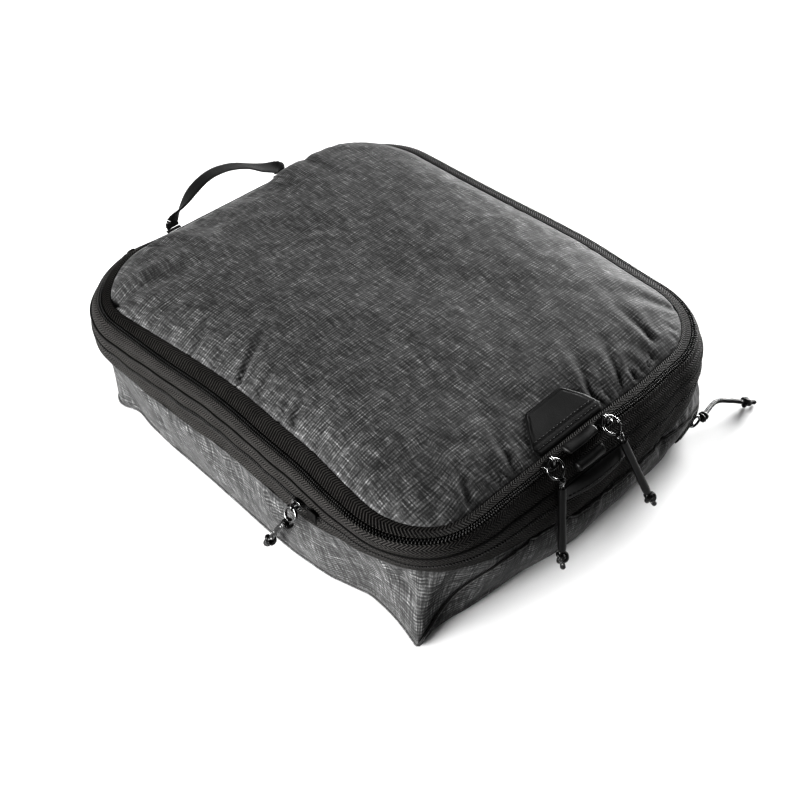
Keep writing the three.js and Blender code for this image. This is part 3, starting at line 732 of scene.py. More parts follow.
def cord_material():
    """Braided black cord with a few pale tracer stitches."""
    sh = Shader("braided_cord")
    split = sh.node("ShaderNodeSeparateXYZ", {"Vector": sh.flat(1, 1)})
    x, y = split.outputs["X"], split.outputs["Y"]
    one = sh.wave(sh.math("ADD", x, y), 4200.0)
    two = sh.wave(sh.math("SUBTRACT", x, y), 4200.0)
    braid = sh.math("MAXIMUM", one, two)
    fleck = sh.node("ShaderNodeTexWhiteNoise", noise_dimensions="2D")
    cell = sh.node("ShaderNodeVectorMath", operation="FLOOR")
    sh.put(sh.flat(850, 1100), cell.inputs[0])
    sh.put(cell.outputs["Vector"], fleck.inputs["Vector"])
    tracer = sh.math("GREATER_THAN", fleck.outputs["Value"], 0.955)
    shade = sh.math("ADD", sh.math("MULTIPLY", braid, 0.4), 0.5)
    base = sh.ramp(shade, [(0.1, grey(0.001)), (1.0, grey(0.006))])
    mix = sh.node("ShaderNodeMix", data_type="RGBA")
    sh.put(sh.math("MULTIPLY", tracer, 0.75), mix.inputs["Factor"])
    sh.put(base, mix.inputs["A"])
    mix.inputs["B"].default_value = (*grey(0.42), 1.0)
    sh.set(Base_Color=mix.outputs["Result"], Roughness=0.30, Specular_IOR_Level=0.3)
    sh.bump(sh.math("ADD", braid, sh.math("MULTIPLY", tracer, 0.6)), 0.6, 0.00025)
    return sh.material


def sleeve_material():
    """Satin shrink tube."""
    sh = Shader("shrink_sleeve")
    smear = sh.noise(sh.flat(90, 500), 3.0)
    grain = sh.noise(sh.solid(1300.0), 2.0)
    colour = sh.ramp(sh.spread((smear, 0.9)), [(0.2, grey(0.003)), (0.9, grey(0.008))])
    rough = sh.math("ADD", sh.math("MULTIPLY", smear, 0.2), 0.22)
    sh.set(Base_Color=colour, Roughness=rough, Specular_IOR_Level=0.16)
    sh.bump(sh.spread((grain, 0.5), (smear, 1.0)), 0.25, 0.0002)
    return sh.material


def thread_material():
    """Dark twisted polyester thread."""
    sh = Shader("sewing_thread")
    twist = sh.noise(sh.solid(3000.0), 1.0)
    sh.set(Base_Color=sh.ramp(twist, [(0.2, grey(0.008)), (0.9, grey(0.05))]), Roughness=0.55)
    sh.bump(twist, 0.3, 0.0001)
    return sh.material


def floor_material():
    """A pale, faintly uneven studio sweep."""
    sh = Shader("studio_sweep")
    uneven = sh.noise(sh.solid(3.0), 2.0)
    sh.set(Base_Color=sh.ramp(uneven, [(0.2, grey(0.74)), (0.8, grey(0.77))]), Roughness=0.6)
    sh.set(Specular_IOR_Level=0.2)
    sh.set(Emission_Color=(1.0, 1.0, 1.0, 1.0), Emission_Strength=0.04)
    return sh.material


HEATHER = heather_material("heather_cloth")
LINING = lining_material()
ZIP_TAPE = herringbone_material("zip_tape_weave", 0.040, 0.0008)
EDGE_TAPE = herringbone_material("binding_tape", 0.012, 0.002, 0.0009, 0.0015)
NYLON = coil_material()
STRAP = webbing_material()
PATCH = coated_material("coated_patch", 0.52, 0.004, 0.008)
ROLL = coated_material("coated_roll", 0.42, 0.005, 0.012)
ENAMEL = enamel_material()
CORD = cord_material()
SLEEVE = sleeve_material()
THREAD = thread_material()


# ---- Camera ------------------------------------------------------------------------------


def add_camera(azimuth, elevation, place, lens):
    """A camera at place that looks along the photo's azimuth and elevation, in degrees."""
    a, e = math.radians(azimuth), math.radians(elevation)
    back = Vector((math.sin(a) * math.cos(e), -math.cos(a) * math.cos(e), math.sin(e)))
    camera = bpy.data.objects.new("camera", bpy.data.cameras.new("camera"))
    camera.data.sensor_width = 36.0
    camera.data.lens = lens
    camera.data.clip_start = 0.01
    camera.rotation_mode = "QUATERNION"
    camera.rotation_quaternion = (-back).to_track_quat("-Z", "Y")
    camera.location = place
    bpy.context.scene.collection.objects.link(camera)
    bpy.context.scene.camera = camera


add_camera(-44.3, 44.7, (-0.4187, -0.4359, 0.5856), 51.75)


# ---- Cord pulls --------------------------------------------------------------------------

CORD_RADIUS = 0.0017
SLEEVE_INNER = 0.00205
SLEEVE_OUTER = 0.0026
KNOT_SIZE = 0.0044
KNOT_TAIL = 0.006

# Each cord's route from its ring to its knot, and whether a shrink sleeve covers it.
PULLS = {
    "main_pull_left": {
        "route": [(-0.04, -0.18354, 0.07876), (-0.043, -0.18927, 0.05338), (-0.046, -0.195, 0.028)],
        "sleeve": True,
    },
    "main_pull_right": {
        "route": [(0.01, -0.18658, 0.08285), (0.0195, -0.19479, 0.05543), (0.029, -0.203, 0.028)],
        "sleeve": True,
    },
    "compression_pull": {
        "route": [(-0.16082, -0.075, 0.04749), (-0.1615, -0.066, 0.036), (-0.1615, -0.057, 0.018)],
        "sleeve": False,
    },
    "access_pull": {
        "route": [
            (0.12226, -0.18214, 0.015),
            (0.141, -0.180, 0.0155),
            (0.153, -0.185, 0.012),
            (0.163, -0.189, 0.007),
        ],
        "sleeve": False,
    },
}


def knot(name, start, onward):
    """An overhand knot pulled tight at start, with its cut end beyond it."""
    onward = onward / np.linalg.norm(onward)
    side = np.cross(onward, [0.2, 0.9, 0.4])
    side /= np.linalg.norm(side)
    other = np.cross(onward, side)
    t = np.linspace(0, 2 * math.pi, 56, endpoint=False)
    x = (np.sin(t) + 2 * np.sin(2 * t)) / 3
    y = (np.cos(t) - 2 * np.cos(2 * t)) / 3
    z = -np.sin(3 * t)
    strand = KNOT_SIZE * 0.40
    reach = KNOT_SIZE - strand
    centre = start + onward * KNOT_SIZE
    around = x[:, None] * side * reach * 1.05 + y[:, None] * other * reach * 0.95
    loop = centre + (around + z[:, None] * onward * reach * 0.62)
    parts = [tube(name + "_loop", loop, strand, CORD, 10, closed=True)]
    run = np.linspace(0, 1, 9)[:, None]
    end = centre + onward * (KNOT_SIZE * 0.55) + (onward + side * 0.15) * KNOT_TAIL * run
    flare = np.linspace(CORD_RADIUS * 0.85, CORD_RADIUS * 1.02, 9)
    parts.append(tube(name + "_end", end, flare, CORD, 10))
    return joined(name, parts)


def hitch(name, at, onward, size=1.0):
    """The doubled cord's lark's head round the pull ring: two snug wraps."""
    onward = onward / np.linalg.norm(onward)
    side = np.cross(onward, [0.1, 0.3, 0.95])
    side /= np.linalg.norm(side)
    other = np.cross(onward, side)
    parts = []
    for k, shift in enumerate((-0.0003, 0.0012)):
        t = np.linspace(0, 2 * math.pi, 28, endpoint=False)
        lean = 0.0005 * (1 if k else -1)
        loop = (
            at
            + onward * (size * shift + lean * np.cos(t))[:, None]
            + side * (0.0014 * size * np.cos(t))[:, None]
            + other * (0.0014 * size * np.sin(t))[:, None]
        )
        parts.append(tube(f"{name}_{k}", loop, 0.00085 * size, CORD, 8, closed=True))
    return joined(name, parts)


def sleeve_mesh(name, line):
    """A shrink tube with a slightly flared mouth at each end."""
    line = np.asarray(line)
    count = len(line)
    outer = np.full(count, SLEEVE_OUTER)
    outer[[0, -1]] *= 0.93
    outer *= 1 + 0.025 * np.sin(np.linspace(0, 9, count))
    _, a, b = carried_frames(line)
    sides = 20
    turn = 2 * math.pi * np.arange(sides) / sides
    ring = np.cos(turn)[None, :, None] * a[:, None] + np.sin(turn)[None, :, None] * b[:, None]
    outside = line[:, None] + ring * outer[:, None, None]
    inside = line[:, None] + ring * SLEEVE_INNER
    skin = np.concatenate([outside, inside[::-1]])
    length = along_lengths(line)
    u = np.concatenate([length, length[-1] + 0.0005 + length])
    obj = lattice(name, skin, np.append(u, u[-1]), np.arange(sides + 1) * 0.0008, SLEEVE, True, True, 50)
    face_outward(obj)
    return obj


def add_pull(name, route, sleeve):
    """One pull: its cord, the hitch on the ring, the knot at the end and any sleeve."""
    line = through(route, 12 if len(route) == 3 else 9)
    onward = line[-1] - line[-2]
    strand = tube(name + "_strand", line, CORD_RADIUS, CORD, 14, round_ends=False)
    placed(strand, name, "pull_cord", name + "_cord")
    foot = line[-1] + onward / np.linalg.norm(onward) * 0.0003
    end = knot(name + "_overhand", foot, onward)
    placed(end, name, "pull_cord", name + "_knot")
    top = hitch(name + "_hitch", line[0], line[1] - line[0], 1.0 if sleeve else 1.6)
    placed(top, name, "pull_cord")
    if sleeve:
        cover = along_line(line, np.linspace(0.1, 0.98, 24) * along_lengths(line)[-1])
        tube_piece = sleeve_mesh(name + "_shrink", cover)
        placed(tube_piece, name, "pull_sleeve", name + "_sleeve")


for pull_name, facts in PULLS.items():
    add_pull(pull_name, facts["route"], facts["sleeve"])


# ---- Floor and light ---------------------------------------------------------------------


def add_floor():
    """The studio floor, which isn't part of the object."""
    reach = 4.0
    grid = np.linspace(-reach, reach, 24)
    x, y = np.meshgrid(grid, grid, indexing="ij")
    points = np.stack([x, y, np.zeros_like(x)], -1)
    floor = lattice("floor", points, grid, grid, floor_material(), False, False)


def add_light(name, place, target, size, power):
    """A white rectangular softbox at place that faces the target."""
    data = bpy.data.lights.new(name, "AREA")
    data.shape = "RECTANGLE"
    data.size, data.size_y = size
    data.energy = power
    light = bpy.data.objects.new(name, data)
    light.location = place
    light.rotation_mode = "QUATERNION"
    light.rotation_quaternion = (Vector(target) - Vector(place)).to_track_quat("-Z", "Y")
    bpy.context.scene.collection.objects.link(light)


def add_world(strength):
    """An even white surround of that strength."""
    world = bpy.data.worlds.new("studio")
    bpy.context.scene.world = world
    world.use_nodes = True
    background = world.node_tree.nodes["Background"]
    background.inputs["Color"].default_value = (1.0, 1.0, 1.0, 1.0)
    background.inputs["Strength"].default_value = strength


add_floor()
add_world(0.018)
add_light("softbox_left", (-1.50, 0.16, 0.44), (-0.05, 0, 0.05), (1.0, 0.5), 66)
add_light("softbox_right", (1.50, 0.10, 0.42), (0.05, 0, 0.05), (1.0, 0.5), 64)
add_light("overhead", (0.1, 0.05, 1.9), (0, 0, 0), (1.4, 1.4), 4)
bpy.context.scene.view_settings.view_transform = "Standard"
bpy.context.scene.view_settings.look = "High Contrast"


# ---- Creases -----------------------------------------------------------------------------


def crease(points, begin, end, depth, width):
    """Depth of a fold that is sharpest at begin and dies out at end, over points in one plane."""
    begin, end = np.array(begin), np.array(end)
    run = end - begin
    length = np.linalg.norm(run)
    run = run / length
    rel = points - begin
    t = rel @ run / length
    off = rel @ np.array([-run[1], run[0]])
    spread = width * (0.75 + 0.9 * np.clip(t, 0, 1.3))
    valley = np.exp(-((off / spread) ** 2))
    shoulder = np.exp(-(((np.abs(off) - 1.9 * spread) / spread) ** 2))
    fade = np.clip(t / 0.12 + 0.6, 0, 1) * np.clip((1.15 - t) / 1.15, 0, 1) ** 1.3
    fade = np.where((t < -0.08) | (t > 1.15), 0.0, fade)
    return depth * fade * (-valley + 0.42 * shoulder)


def hum(xy, seed, waves, low, high, size):
    """Smooth random unevenness: a sum of plane waves of between low and high wavelength."""
    rng = np.random.default_rng(seed)
    total = np.zeros(len(xy))
    for _ in range(waves):
        wavelength = rng.uniform(low, high)
        angle = rng.uniform(0, math.pi)
        direction = np.array([math.cos(angle), math.sin(angle)]) * 2 * math.pi / wavelength
        total += np.sin(xy @ direction + rng.uniform(0, 2 * math.pi)) * wavelength / high
    return size * total / math.sqrt(waves)


# ---- Flat plates cut to an outline -------------------------------------------------------


def nearest(points, line):
    """Index of the line's point that is nearest to each point, and the distance to it."""
    index = np.empty(len(points), int)
    distance = np.empty(len(points))
    for k in range(0, len(points), 2000):
        gap = np.sqrt(((points[k : k + 2000, None] - line[None]) ** 2).sum(-1))
        index[k : k + 2000] = gap.argmin(1)
        distance[k : k + 2000] = gap.min(1)
    return index, distance


def plate_points(rim, spacing):
    """Points on a staggered grid inside a closed outline, after the outline's own points."""
    low, high = rim.min(0), rim.max(0)
    rise = spacing * math.sqrt(3) / 2
    grid = []
    for k, y in enumerate(np.arange(low[1], high[1], rise)):
        shift = spacing / 2 if k % 2 else 0.0
        x = np.arange(low[0] + shift, high[0], spacing)
        grid.append(np.stack([x, np.full(len(x), y)], -1))
    grid = np.concatenate(grid)
    _, clear = nearest(grid, rim)
    following = np.roll(rim, -1, 0)
    crossings = np.zeros(len(grid), int)
    for a, b in zip(rim, following):
        spans = (a[1] > grid[:, 1]) != (b[1] > grid[:, 1])
        if spans.any():
            at = a[0] + (grid[:, 1] - a[1]) / (b[1] - a[1] + 1e-15) * (b[0] - a[0])
            crossings += spans & (grid[:, 0] < at)
    keep = (crossings % 2 == 1) & (clear > 0.62 * spacing)
    return np.concatenate([rim, grid[keep]])


def plate_faces(points, rim_count):
    """Triangles over those points, bounded by the outline."""
    edges = [(k, (k + 1) % rim_count) for k in range(rim_count)]
    made = delaunay_2d_cdt([Vector(p) for p in points], edges, [], 1, 1e-7)
    if len(made[0]) != len(points):
        raise ValueError("the plate's outline crosses itself")
    return np.array([list(f) for f in made[2]])


def nearest_on_rim(points, rim_s, rim):
    """Arc length of the nearest rim point, and the distance to it."""
    index, d = nearest(points, rim)
    return rim_s[index], d


def cut_sheet(rim_s, rim, spacing):
    """A flat mesh inside a closed outline: its points and faces, and each point's place along
    the outline and distance from it."""
    xy = plate_points(rim, spacing)
    faces = plate_faces(xy, len(rim))
    s, d = nearest_on_rim(xy, rim_s, rim)
    return xy, faces, s, d


# ---- Lid ---------------------------------------------------------------------------------


def crown_scale(x, y):
    """The size of the seam-shaped outline, in parts of the seam, that passes through a point."""
    a, b = np.abs(x), np.abs(y)
    scale = np.maximum(a / SEAM_HALF_X, b / SEAM_HALF_Y)
    square = STRAIGHT_X**2 + STRAIGHT_Y**2 - SEAM_RADIUS**2
    mixed = STRAIGHT_X * a + STRAIGHT_Y * b
    inside = np.maximum(mixed**2 - square * (a**2 + b**2), 0)
    rounded = (mixed - np.sqrt(inside)) / square
    in_corner = (a > STRAIGHT_X * rounded) & (b > STRAIGHT_Y * rounded)
    return np.where(in_corner, np.maximum(rounded, scale), scale)


def crown_height(x, y):
    """Height of the smooth dome, before any fold."""
    return SEAM_Z + CROWN_HEIGHT * (1 - np.clip(crown_scale(x, y), 0, 1.02) ** CROWN_POWER)


# Folds that start at the seam: where each begins and ends, its depth and its width (mm).
LID_FOLDS = [
    ((-134, 6), (-92, 23), 4.6, 2.1),
    ((-135, -13), (-104, -2), 2.8, 2.0),
    ((-135, 49), (-108, 57), 3.0, 2.3),
    ((-134, -36), (-112, -28), 2.8, 2.0),
    ((-132, -46), (-112, -37), 3.0, 2.1),
    ((-135, -70), (-112, -63), 2.4, 2.1),
    ((-136, -107), (-114, -101), 1.8, 2.2),
    ((-135, 90), (-96, 89), 2.2, 3.4),
    ((-134, 30), (-112, 38), 1.8, 2.2),
    ((-142, 128), (-58, 98), 3.8, 7.5),
    ((-136, 110), (-70, 72), 2.4, 7.0),
    ((-86, 162), (-70, 118), 2.2, 5.0),
    ((18, -158), (44, -109), 1.6, 3.0),
    ((42, -161), (62, -122), 1.8, 3.0),
    ((86, -152), (90, -113), 1.6, 3.4),
    ((126, -140), (92, -96), 2.0, 5.0),
    ((139, -60), (98, -48), 1.8, 4.5),
    ((139, 10), (104, 4), 1.4, 4.0),
    ((138, 70), (112, 60), 1.4, 4.0),
    ((60, 165), (52, 130), 1.4, 4.0),
    ((20, 166), (14, 138), 1.1, 3.5),
    ((-30, 166), (-34, 134), 1.3, 3.5),
    ((-60, -162), (-50, -132), 1.6, 2.6),
    ((-96, -160), (-78, -128), 1.6, 3.4),
]


# How far the stuffing lifts the cloth along the rear edge: place across (X) and height (mm).
REAR_PUFF = np.array(
    [(-136, 0), (-90, 1.5), (-66, 3), (-56, 1), (-46, -1.5), (-38, -1), (-26, 1.2), (0, 1.5), (20, 1.4)]
    + [(26, 2.2), (33, 7), (45, 8), (75, 7.5), (100, 5), (136, 0)],
    float,
)


def pucker_keys():
    """Small gathers round the whole seam: place, reach, lean, depth and width, closest together
    where the label is sewn in."""
    rng = np.random.default_rng(41)
    keys = []
    s = 0.0
    while s < PERIMETER:
        near_label = min(s, PERIMETER - s) < 0.075
        reach = rng.uniform(0.009, 0.017) if near_label else rng.uniform(0.006, 0.020)
        depth = rng.uniform(0.0010, 0.0019) if near_label else rng.uniform(0.0003, 0.0010)
        width = rng.uniform(0.0013, 0.0018) if near_label else rng.uniform(0.0014, 0.0024)
        keys.append((s, reach, rng.uniform(-0.45, 0.45), depth, width))
        s += rng.uniform(0.0048, 0.0066) if near_label else rng.uniform(0.008, 0.017)
    return keys


def lid_relief(xy, s, d):
    """Height of folds and gathers over the crown, at plan points with their place on the seam."""
    total = np.zeros(len(xy))
    for begin, end, depth, width in LID_FOLDS:
        begin, end = np.array(begin) * MM, np.array(end) * MM
        near = np.linalg.norm(xy - (begin + end) / 2, axis=1) < np.linalg.norm(end - begin) + 0.03
        total[near] += crease(xy[near], begin, end, depth * MM, width * MM)
    for at, reach, lean, depth, width in pucker_keys():
        gap = (s - at + PERIMETER / 2) % PERIMETER - PERIMETER / 2
        near = (np.abs(gap) < 0.02) & (d < 1.3 * reach)
        flat = np.stack([d[near], gap[near]], -1)
        total[near] += crease(flat, (0.0, 0.0), (reach, lean * reach), depth, width)
    behind = np.clip(xy[:, 1] / 0.12, 0, 1) ** 2
    puff = (d / 0.011) * np.exp(1 - d / 0.011)
    rise = np.interp(xy[:, 0], REAR_PUFF[:, 0] * MM, REAR_PUFF[:, 1] * MM)
    total += behind * puff * rise
    calm = np.clip(d / 0.03, 0, 1)
    total += hum(xy, 3, 14, 0.045, 0.14, 0.0011) * calm
    total += hum(xy, 5, 18, 0.012, 0.032, 0.00022) * np.clip(d / 0.01, 0.3, 1)
    edge = np.clip(d / 0.0035, 0, 1)
    return total * edge


def lid_plan(xy, s, d):
    """Moves plan points with the seam's swell, dying out towards the middle."""
    _, out = seam_plan(s)
    return xy + out * (RIM_SWELL(s) * np.exp(-((d / 0.05) ** 2)))[:, None]


# The label's middle, its rows (place in Y and half width, in mm), and the cloth that it holds.
LABEL_X = -0.011
LABEL_ROWS = [(-165.4, 29), (-161, 31), (-153, 26), (-147, 21), (-141, 16.5)]
LABEL_HOLD_HALF = 0.033
LABEL_HOLD_TOP = -0.137
LABEL_FADE = 0.008
SIM_SPACING = 0.0045
SIM_FRAMES = 20
SIM_CAP = 0.0035  # the furthest that the simulation may move the cloth
SIM_HOLD = 0.25  # how firmly the free cloth is held, where 1 is sewn down


def run_cloth(points, faces, hold):
    """Blows a sheet up a little as cloth that is cut slightly too large, and returns how far each
    point moved. hold is 1 where the sheet is sewn down and small where it is free."""
    sheet = new_object("lid_sim", points, faces, LINING)
    group = sheet.vertex_groups.new(name="hold")
    for level in np.unique(hold):
        group.add(np.flatnonzero(hold == level).tolist(), float(level), "REPLACE")
    cloth = sheet.modifiers.new("settle", "CLOTH")
    facts = cloth.settings
    facts.quality = 6
    facts.mass = 0.15
    facts.tension_stiffness = 15
    facts.compression_stiffness = 15
    facts.shear_stiffness = 5
    facts.bending_stiffness = 0.6
    facts.vertex_group_mass = "hold"
    facts.use_pressure = True
    facts.uniform_pressure_force = 1.2
    facts.shrink_min = -0.008
    facts.effector_weights.gravity = 0
    cloth.point_cache.frame_start = 1
    cloth.point_cache.frame_end = SIM_FRAMES
    scene = bpy.context.scene
    for frame in range(1, SIM_FRAMES + 1):
        scene.frame_set(frame)
    apply_modifiers(sheet)
    settled = np.array([vertex.co[:] for vertex in sheet.data.vertices])
    bpy.data.objects.remove(sheet)
    scene.frame_set(1)
    return settled - points


def spread_over(points, known, values, reach):
    """Smooth values at points from values known at other points within about reach."""
    result = np.zeros((len(points), values.shape[1]))
    for start in range(0, len(points), 1000):
        part = points[start : start + 1000]
        gap = np.sum((part[:, None] - known[None]) ** 2, -1)
        weight = np.exp(-gap / reach**2)
        result[start : start + 1000] = weight @ values / np.maximum(weight.sum(1), 1e-9)[:, None]
    return result


def near_label(xy):
    """1 under the label and its margin, 0 away from it."""
    across = np.clip(1 - (np.abs(xy[:, 0] - LABEL_X) - LABEL_HOLD_HALF) / LABEL_FADE, 0, 1)
    return across * np.clip(1 - (xy[:, 1] - LABEL_HOLD_TOP) / LABEL_FADE, 0, 1)


def settle(xy, points, d):
    """Moves the lid's points as the simulated sheet moved: not at the seam or the label, most
    of all just inside the seam, and by a quarter in the middle."""
    rim_s = ring_stations(240)
    rim, _ = seam_plan(rim_s)
    coarse, faces, s, inside = cut_sheet(rim_s, rim, SIM_SPACING)
    height = crown_height(coarse[:, 0], coarse[:, 1]) + lid_relief(coarse, s, inside)
    start = np.concatenate([lid_plan(coarse, s, inside), height[:, None]], -1)
    sewn = (inside < 0.002) | (near_label(coarse) > 0.5)
    moved = run_cloth(start, faces, np.where(sewn, 1.0, SIM_HOLD))
    size = np.linalg.norm(moved, axis=1)
    capped = SIM_CAP * np.tanh(size / SIM_CAP)
    moved *= (capped / np.maximum(size, 1e-9))[:, None]
    shift = spread_over(xy, coarse, moved, 0.6 * SIM_SPACING)
    fade = smoothstep(d, 0.001, 0.010) * (1 - near_label(xy))
    fade *= 0.25 + 0.75 * np.exp(-((d / 0.032) ** 2))
    return points + shift * fade[:, None]


def add_lid_cloth():
    """The domed cloth lid, with its folds and the simulation's settling."""
    rim_s = ring_stations(470)
    rim, _ = seam_plan(rim_s)
    xy, faces, s, d = cut_sheet(rim_s, rim, 0.0025)
    z = crown_height(xy[:, 0], xy[:, 1]) + lid_relief(xy, s, d) + 0.0004
    points = np.concatenate([lid_plan(xy, s, d), z[:, None]], -1)
    points = settle(xy, points, d)
    uvs = xy[faces].reshape(-1, 2)
    cloth = new_object("lid_cloth", points, faces, HEATHER, uvs)
    turn_to_face(cloth, (0, 0, 1))
    thicken(cloth, CLOTH, LINING)
    placed(cloth, "lid", "heather_fabric", "top_panel")


add_lid_cloth()


# ---- Zip band ----------------------------------------------------------------------------


def add_band():
    """The lid's and the collar's zip tapes, the collar's ridge and the two halves of the band."""
    lid_tape = band_strip("lid_zip_tape", [(0.1, 83.9), (2.6, 83.95), (5.1, 83.75)], 0.0009, ZIP_TAPE)
    placed(lid_tape, "lid", "zip_tape", "main_tape_upper")
    turned = [(-0.7, 80.6), (-0.7, 82.3), (-6.8, 82.35)]
    binding = band_strip("lid_inner_binding", turned, 0.0008, EDGE_TAPE)
    placed(binding, "lid", "zip_tape", "lid_seam_binding")
    slope = [(14.3, 71.5), (14.0, 73.2), (13.2, 76), (11.8, 79.4), (10.3, 81.8), (9.0, 83.1)]
    upper = band_strip("collar_zip_tape", slope, TAPE, ZIP_TAPE)
    placed(upper, "collar", "zip_tape", "main_tape_lower")
    piping = [(14.0, 69.7), (15.2, 69.9), (15.6, 70.6), (15.1, 71.3), (14.0, 71.5)]
    ridge = band_strip("collar_ridge", piping, 0.0011, EDGE_TAPE)
    placed(ridge, "collar", "zip_tape", "ridge_piping")
    middle = [(15.1, 59.4), (15.25, 61.5), (15.1, 64.5), (14.7, 67.5), (14.1, 69.6)]
    collar_band = band_strip("collar_band", middle, TAPE, ZIP_TAPE)
    placed(collar_band, "collar", "zip_tape", "compression_tape_upper")
    low = [(13.0, 42.4), (13.9, 44.8), (14.6, 48.6), (15.0, 52.5), (15.1, 56.6)]
    shell_band = band_strip("shell_band", low, TAPE, ZIP_TAPE)
    placed(shell_band, "lower_shell", "zip_tape", "compression_tape_lower")


ZIP_END_X = 0.092
TEETH_PITCH = 0.0016
LID_TOOTH = (0.0011, 0.00165, 0.0011)
BAND_TOOTH = (0.0011, 0.0013, 0.0010)


def coil_row(name, offset, z, lean, body, node, size=LID_TOOTH, phase=0.0):
    """One half of a zip's coil: a rib every pitch, lying across the zip. lean is how far the zip's
    face is tipped: 0 faces up and 90 faces out. The main zip, which faces up, stops at the hinge."""
    count = int(round(PERIMETER / TEETH_PITCH))
    s = (np.arange(count) + phase) * PERIMETER / count
    if lean < 45:
        s = s[np.abs(s - PERIMETER / 2) > ZIP_END_X]
        count = len(s)
    offsets = np.full(count, offset * MM)
    centres = band_points(s, offsets, np.full(count, z * MM))
    _, out = seam_plan(s)
    out3 = np.concatenate([out, np.zeros((count, 1))], -1)
    along = np.stack([-out[:, 1], out[:, 0], np.zeros(count)], -1)
    tip = math.radians(lean)
    up3 = np.array([0.0, 0.0, 1.0])
    up = out3 * math.sin(tip) + up3 * math.cos(tip)
    across = out3 * math.cos(tip) - up3 * math.sin(tip)
    row = ribs(name, centres - up * size[2] * 0.45, along, across, up, size, NYLON)
    placed(row, body, "zip_coil", node)


def add_hinge():
    """The cloth hinge between the zip's two ends: it is sewn to the lid and to the collar."""
    count = 150
    s = np.linspace(PERIMETER / 2 - ZIP_END_X - 0.006, PERIMETER / 2 + ZIP_END_X + 0.006, count)
    profile = through(np.array([(0.4, 84.4), (3, 84.3), (6, 84.0), (9, 82.8), (11.4, 79.6)]) * MM, 3)
    rows = len(profile)
    offsets = np.repeat(profile[None, :, 0], count, 0)
    heights = np.repeat(profile[None, :, 1], count, 0)
    stations = np.repeat(s[:, None], rows, 1)
    points = band_points(stations, offsets + 0.0004, heights)
    points[..., 2] += 0.0007
    strip = lattice("hinge_cloth", points, s, along_lengths(profile), ZIP_TAPE, False, False)
    turn_to_face(strip, (0, 0, 1))
    thicken(strip, 0.0007)
    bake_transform(strip)


add_band()
add_hinge()
coil_row("lid_zip_teeth", 6.15, 83.75, 6, "lid", "main_coil_upper")
coil_row("collar_zip_teeth", 7.85, 83.5, 14, "collar", "main_coil_lower", phase=0.5)
coil_row("collar_band_teeth", 15.3, 58.72, 90, "collar", "compression_coil_upper", BAND_TOOTH)
coil_row("shell_band_teeth", 15.3, 57.28, 90, "lower_shell", "compression_coil_lower", BAND_TOOTH, 0.5)


# ---- Lower shell -------------------------------------------------------------------------

WALL_ROWS = 30
WALL_LENGTH = 0.042
WALL_DROP = 0.04
# The sewn seam between wall and base: it runs at the foot, climbs from the front left ear to the
# band's lower edge, follows the front below the band, and comes down at the front right corner.
SEAM_PATH = [
    (150, 1.0), (132, 0.86), (112, 0.58), (92, 0.30), (70, 0.14), (36, 0.075), (0, 0.065),
    (-40, 0.07), (-62, 0.085), (-78, 0.13), (-88, 0.24), (-96, 0.42), (-104, 0.62), (-113, 0.82),
    (-124.7, 1.0),
]


def foot_height(s):
    """The foot seam's height: it lies on the floor but for the front, which is lifted by the load."""
    lift = round_the_bag(
        [(0, 6.5), (60, 6), (90, 2.5), (125, 0.4), (200, 0), (900, 0), (994, 0), (1010, 0.8)]
        + [(1035, 3), (1075, 6)]
    )
    return FOOT_Z + lift(s)


def wall_bulge(s, t):
    """How far the wall stands out of the straight line from its top to its foot."""
    amount = round_the_bag(
        [(0, 4.5), (60, 4.5), (90, 5), (125, 5), (166, 6), (250, 7), (340, 6), (420, 3), (470, 1), (560, 5)]
        + [(640, 2), (700, -1), (725, -1.5), (745, 1), (800, 3), (870, 3), (925, 1), (955, -2.5), (975, -4)]
        + [(994, 1.5), (1006, -2.5), (1018, -2.5), (1030, 0.5), (1050, 3), (1080, 4.5)],
        0.005,
    )
    return amount(s) * np.sin(math.pi * np.clip(t, 0, 1) ** 0.85)


# Soft waves round the wall: how many there are, how they lean with height, and their size (mm).
WALL_WAVES = [(9, 40, 0.8), (14, -70, 0.6), (21, 110, 0.5), (34, -60, 0.3), (47, 160, 0.25)]
# The dent behind the front left ear: its place and reach, as station and way down the wall.
DENT_AT = (0.981, 0.013)
DENT_REACH = (0.011, 0.009)
DENT_DEPTH = 0.0045


def wall_fold_keys():
    """Creases under the band's edge: place, reach, lean, depth and width."""
    rng = np.random.default_rng(97)
    keys = []
    s = 0.0
    while s < PERIMETER:
        down = rng.uniform(0.010, 0.034)
        lean = rng.uniform(-0.7, 0.7)
        depth = rng.uniform(0.0004, 0.0016)
        width = rng.uniform(0.0016, 0.0034)
        keys.append((s, down, lean, depth, width))
        s += rng.uniform(0.007, 0.020)
    return keys


def wall_points(s, t):
    """The smooth wall at stations s and shares t of the way from the band to the foot: its plan,
    its outward directions and its height."""
    top, out_top = seam_plan(s)
    foot, out_foot = base_plan(s)
    top = top + out_top * (WALL_TOP_OFFSET + HEM_SWELL(s))[..., None]
    foot = foot + out_foot * FOOT_SWELL(s)[..., None]
    mix = (t**0.85)[..., None]
    plan = top * (1 - mix) + foot * mix
    out = out_top * (1 - mix) + out_foot * mix
    plan = plan + out * wall_bulge(s, t)[..., None]
    z = WALL_TOP_Z + (foot_height(s) - WALL_TOP_Z) * t
    return plan, out, z


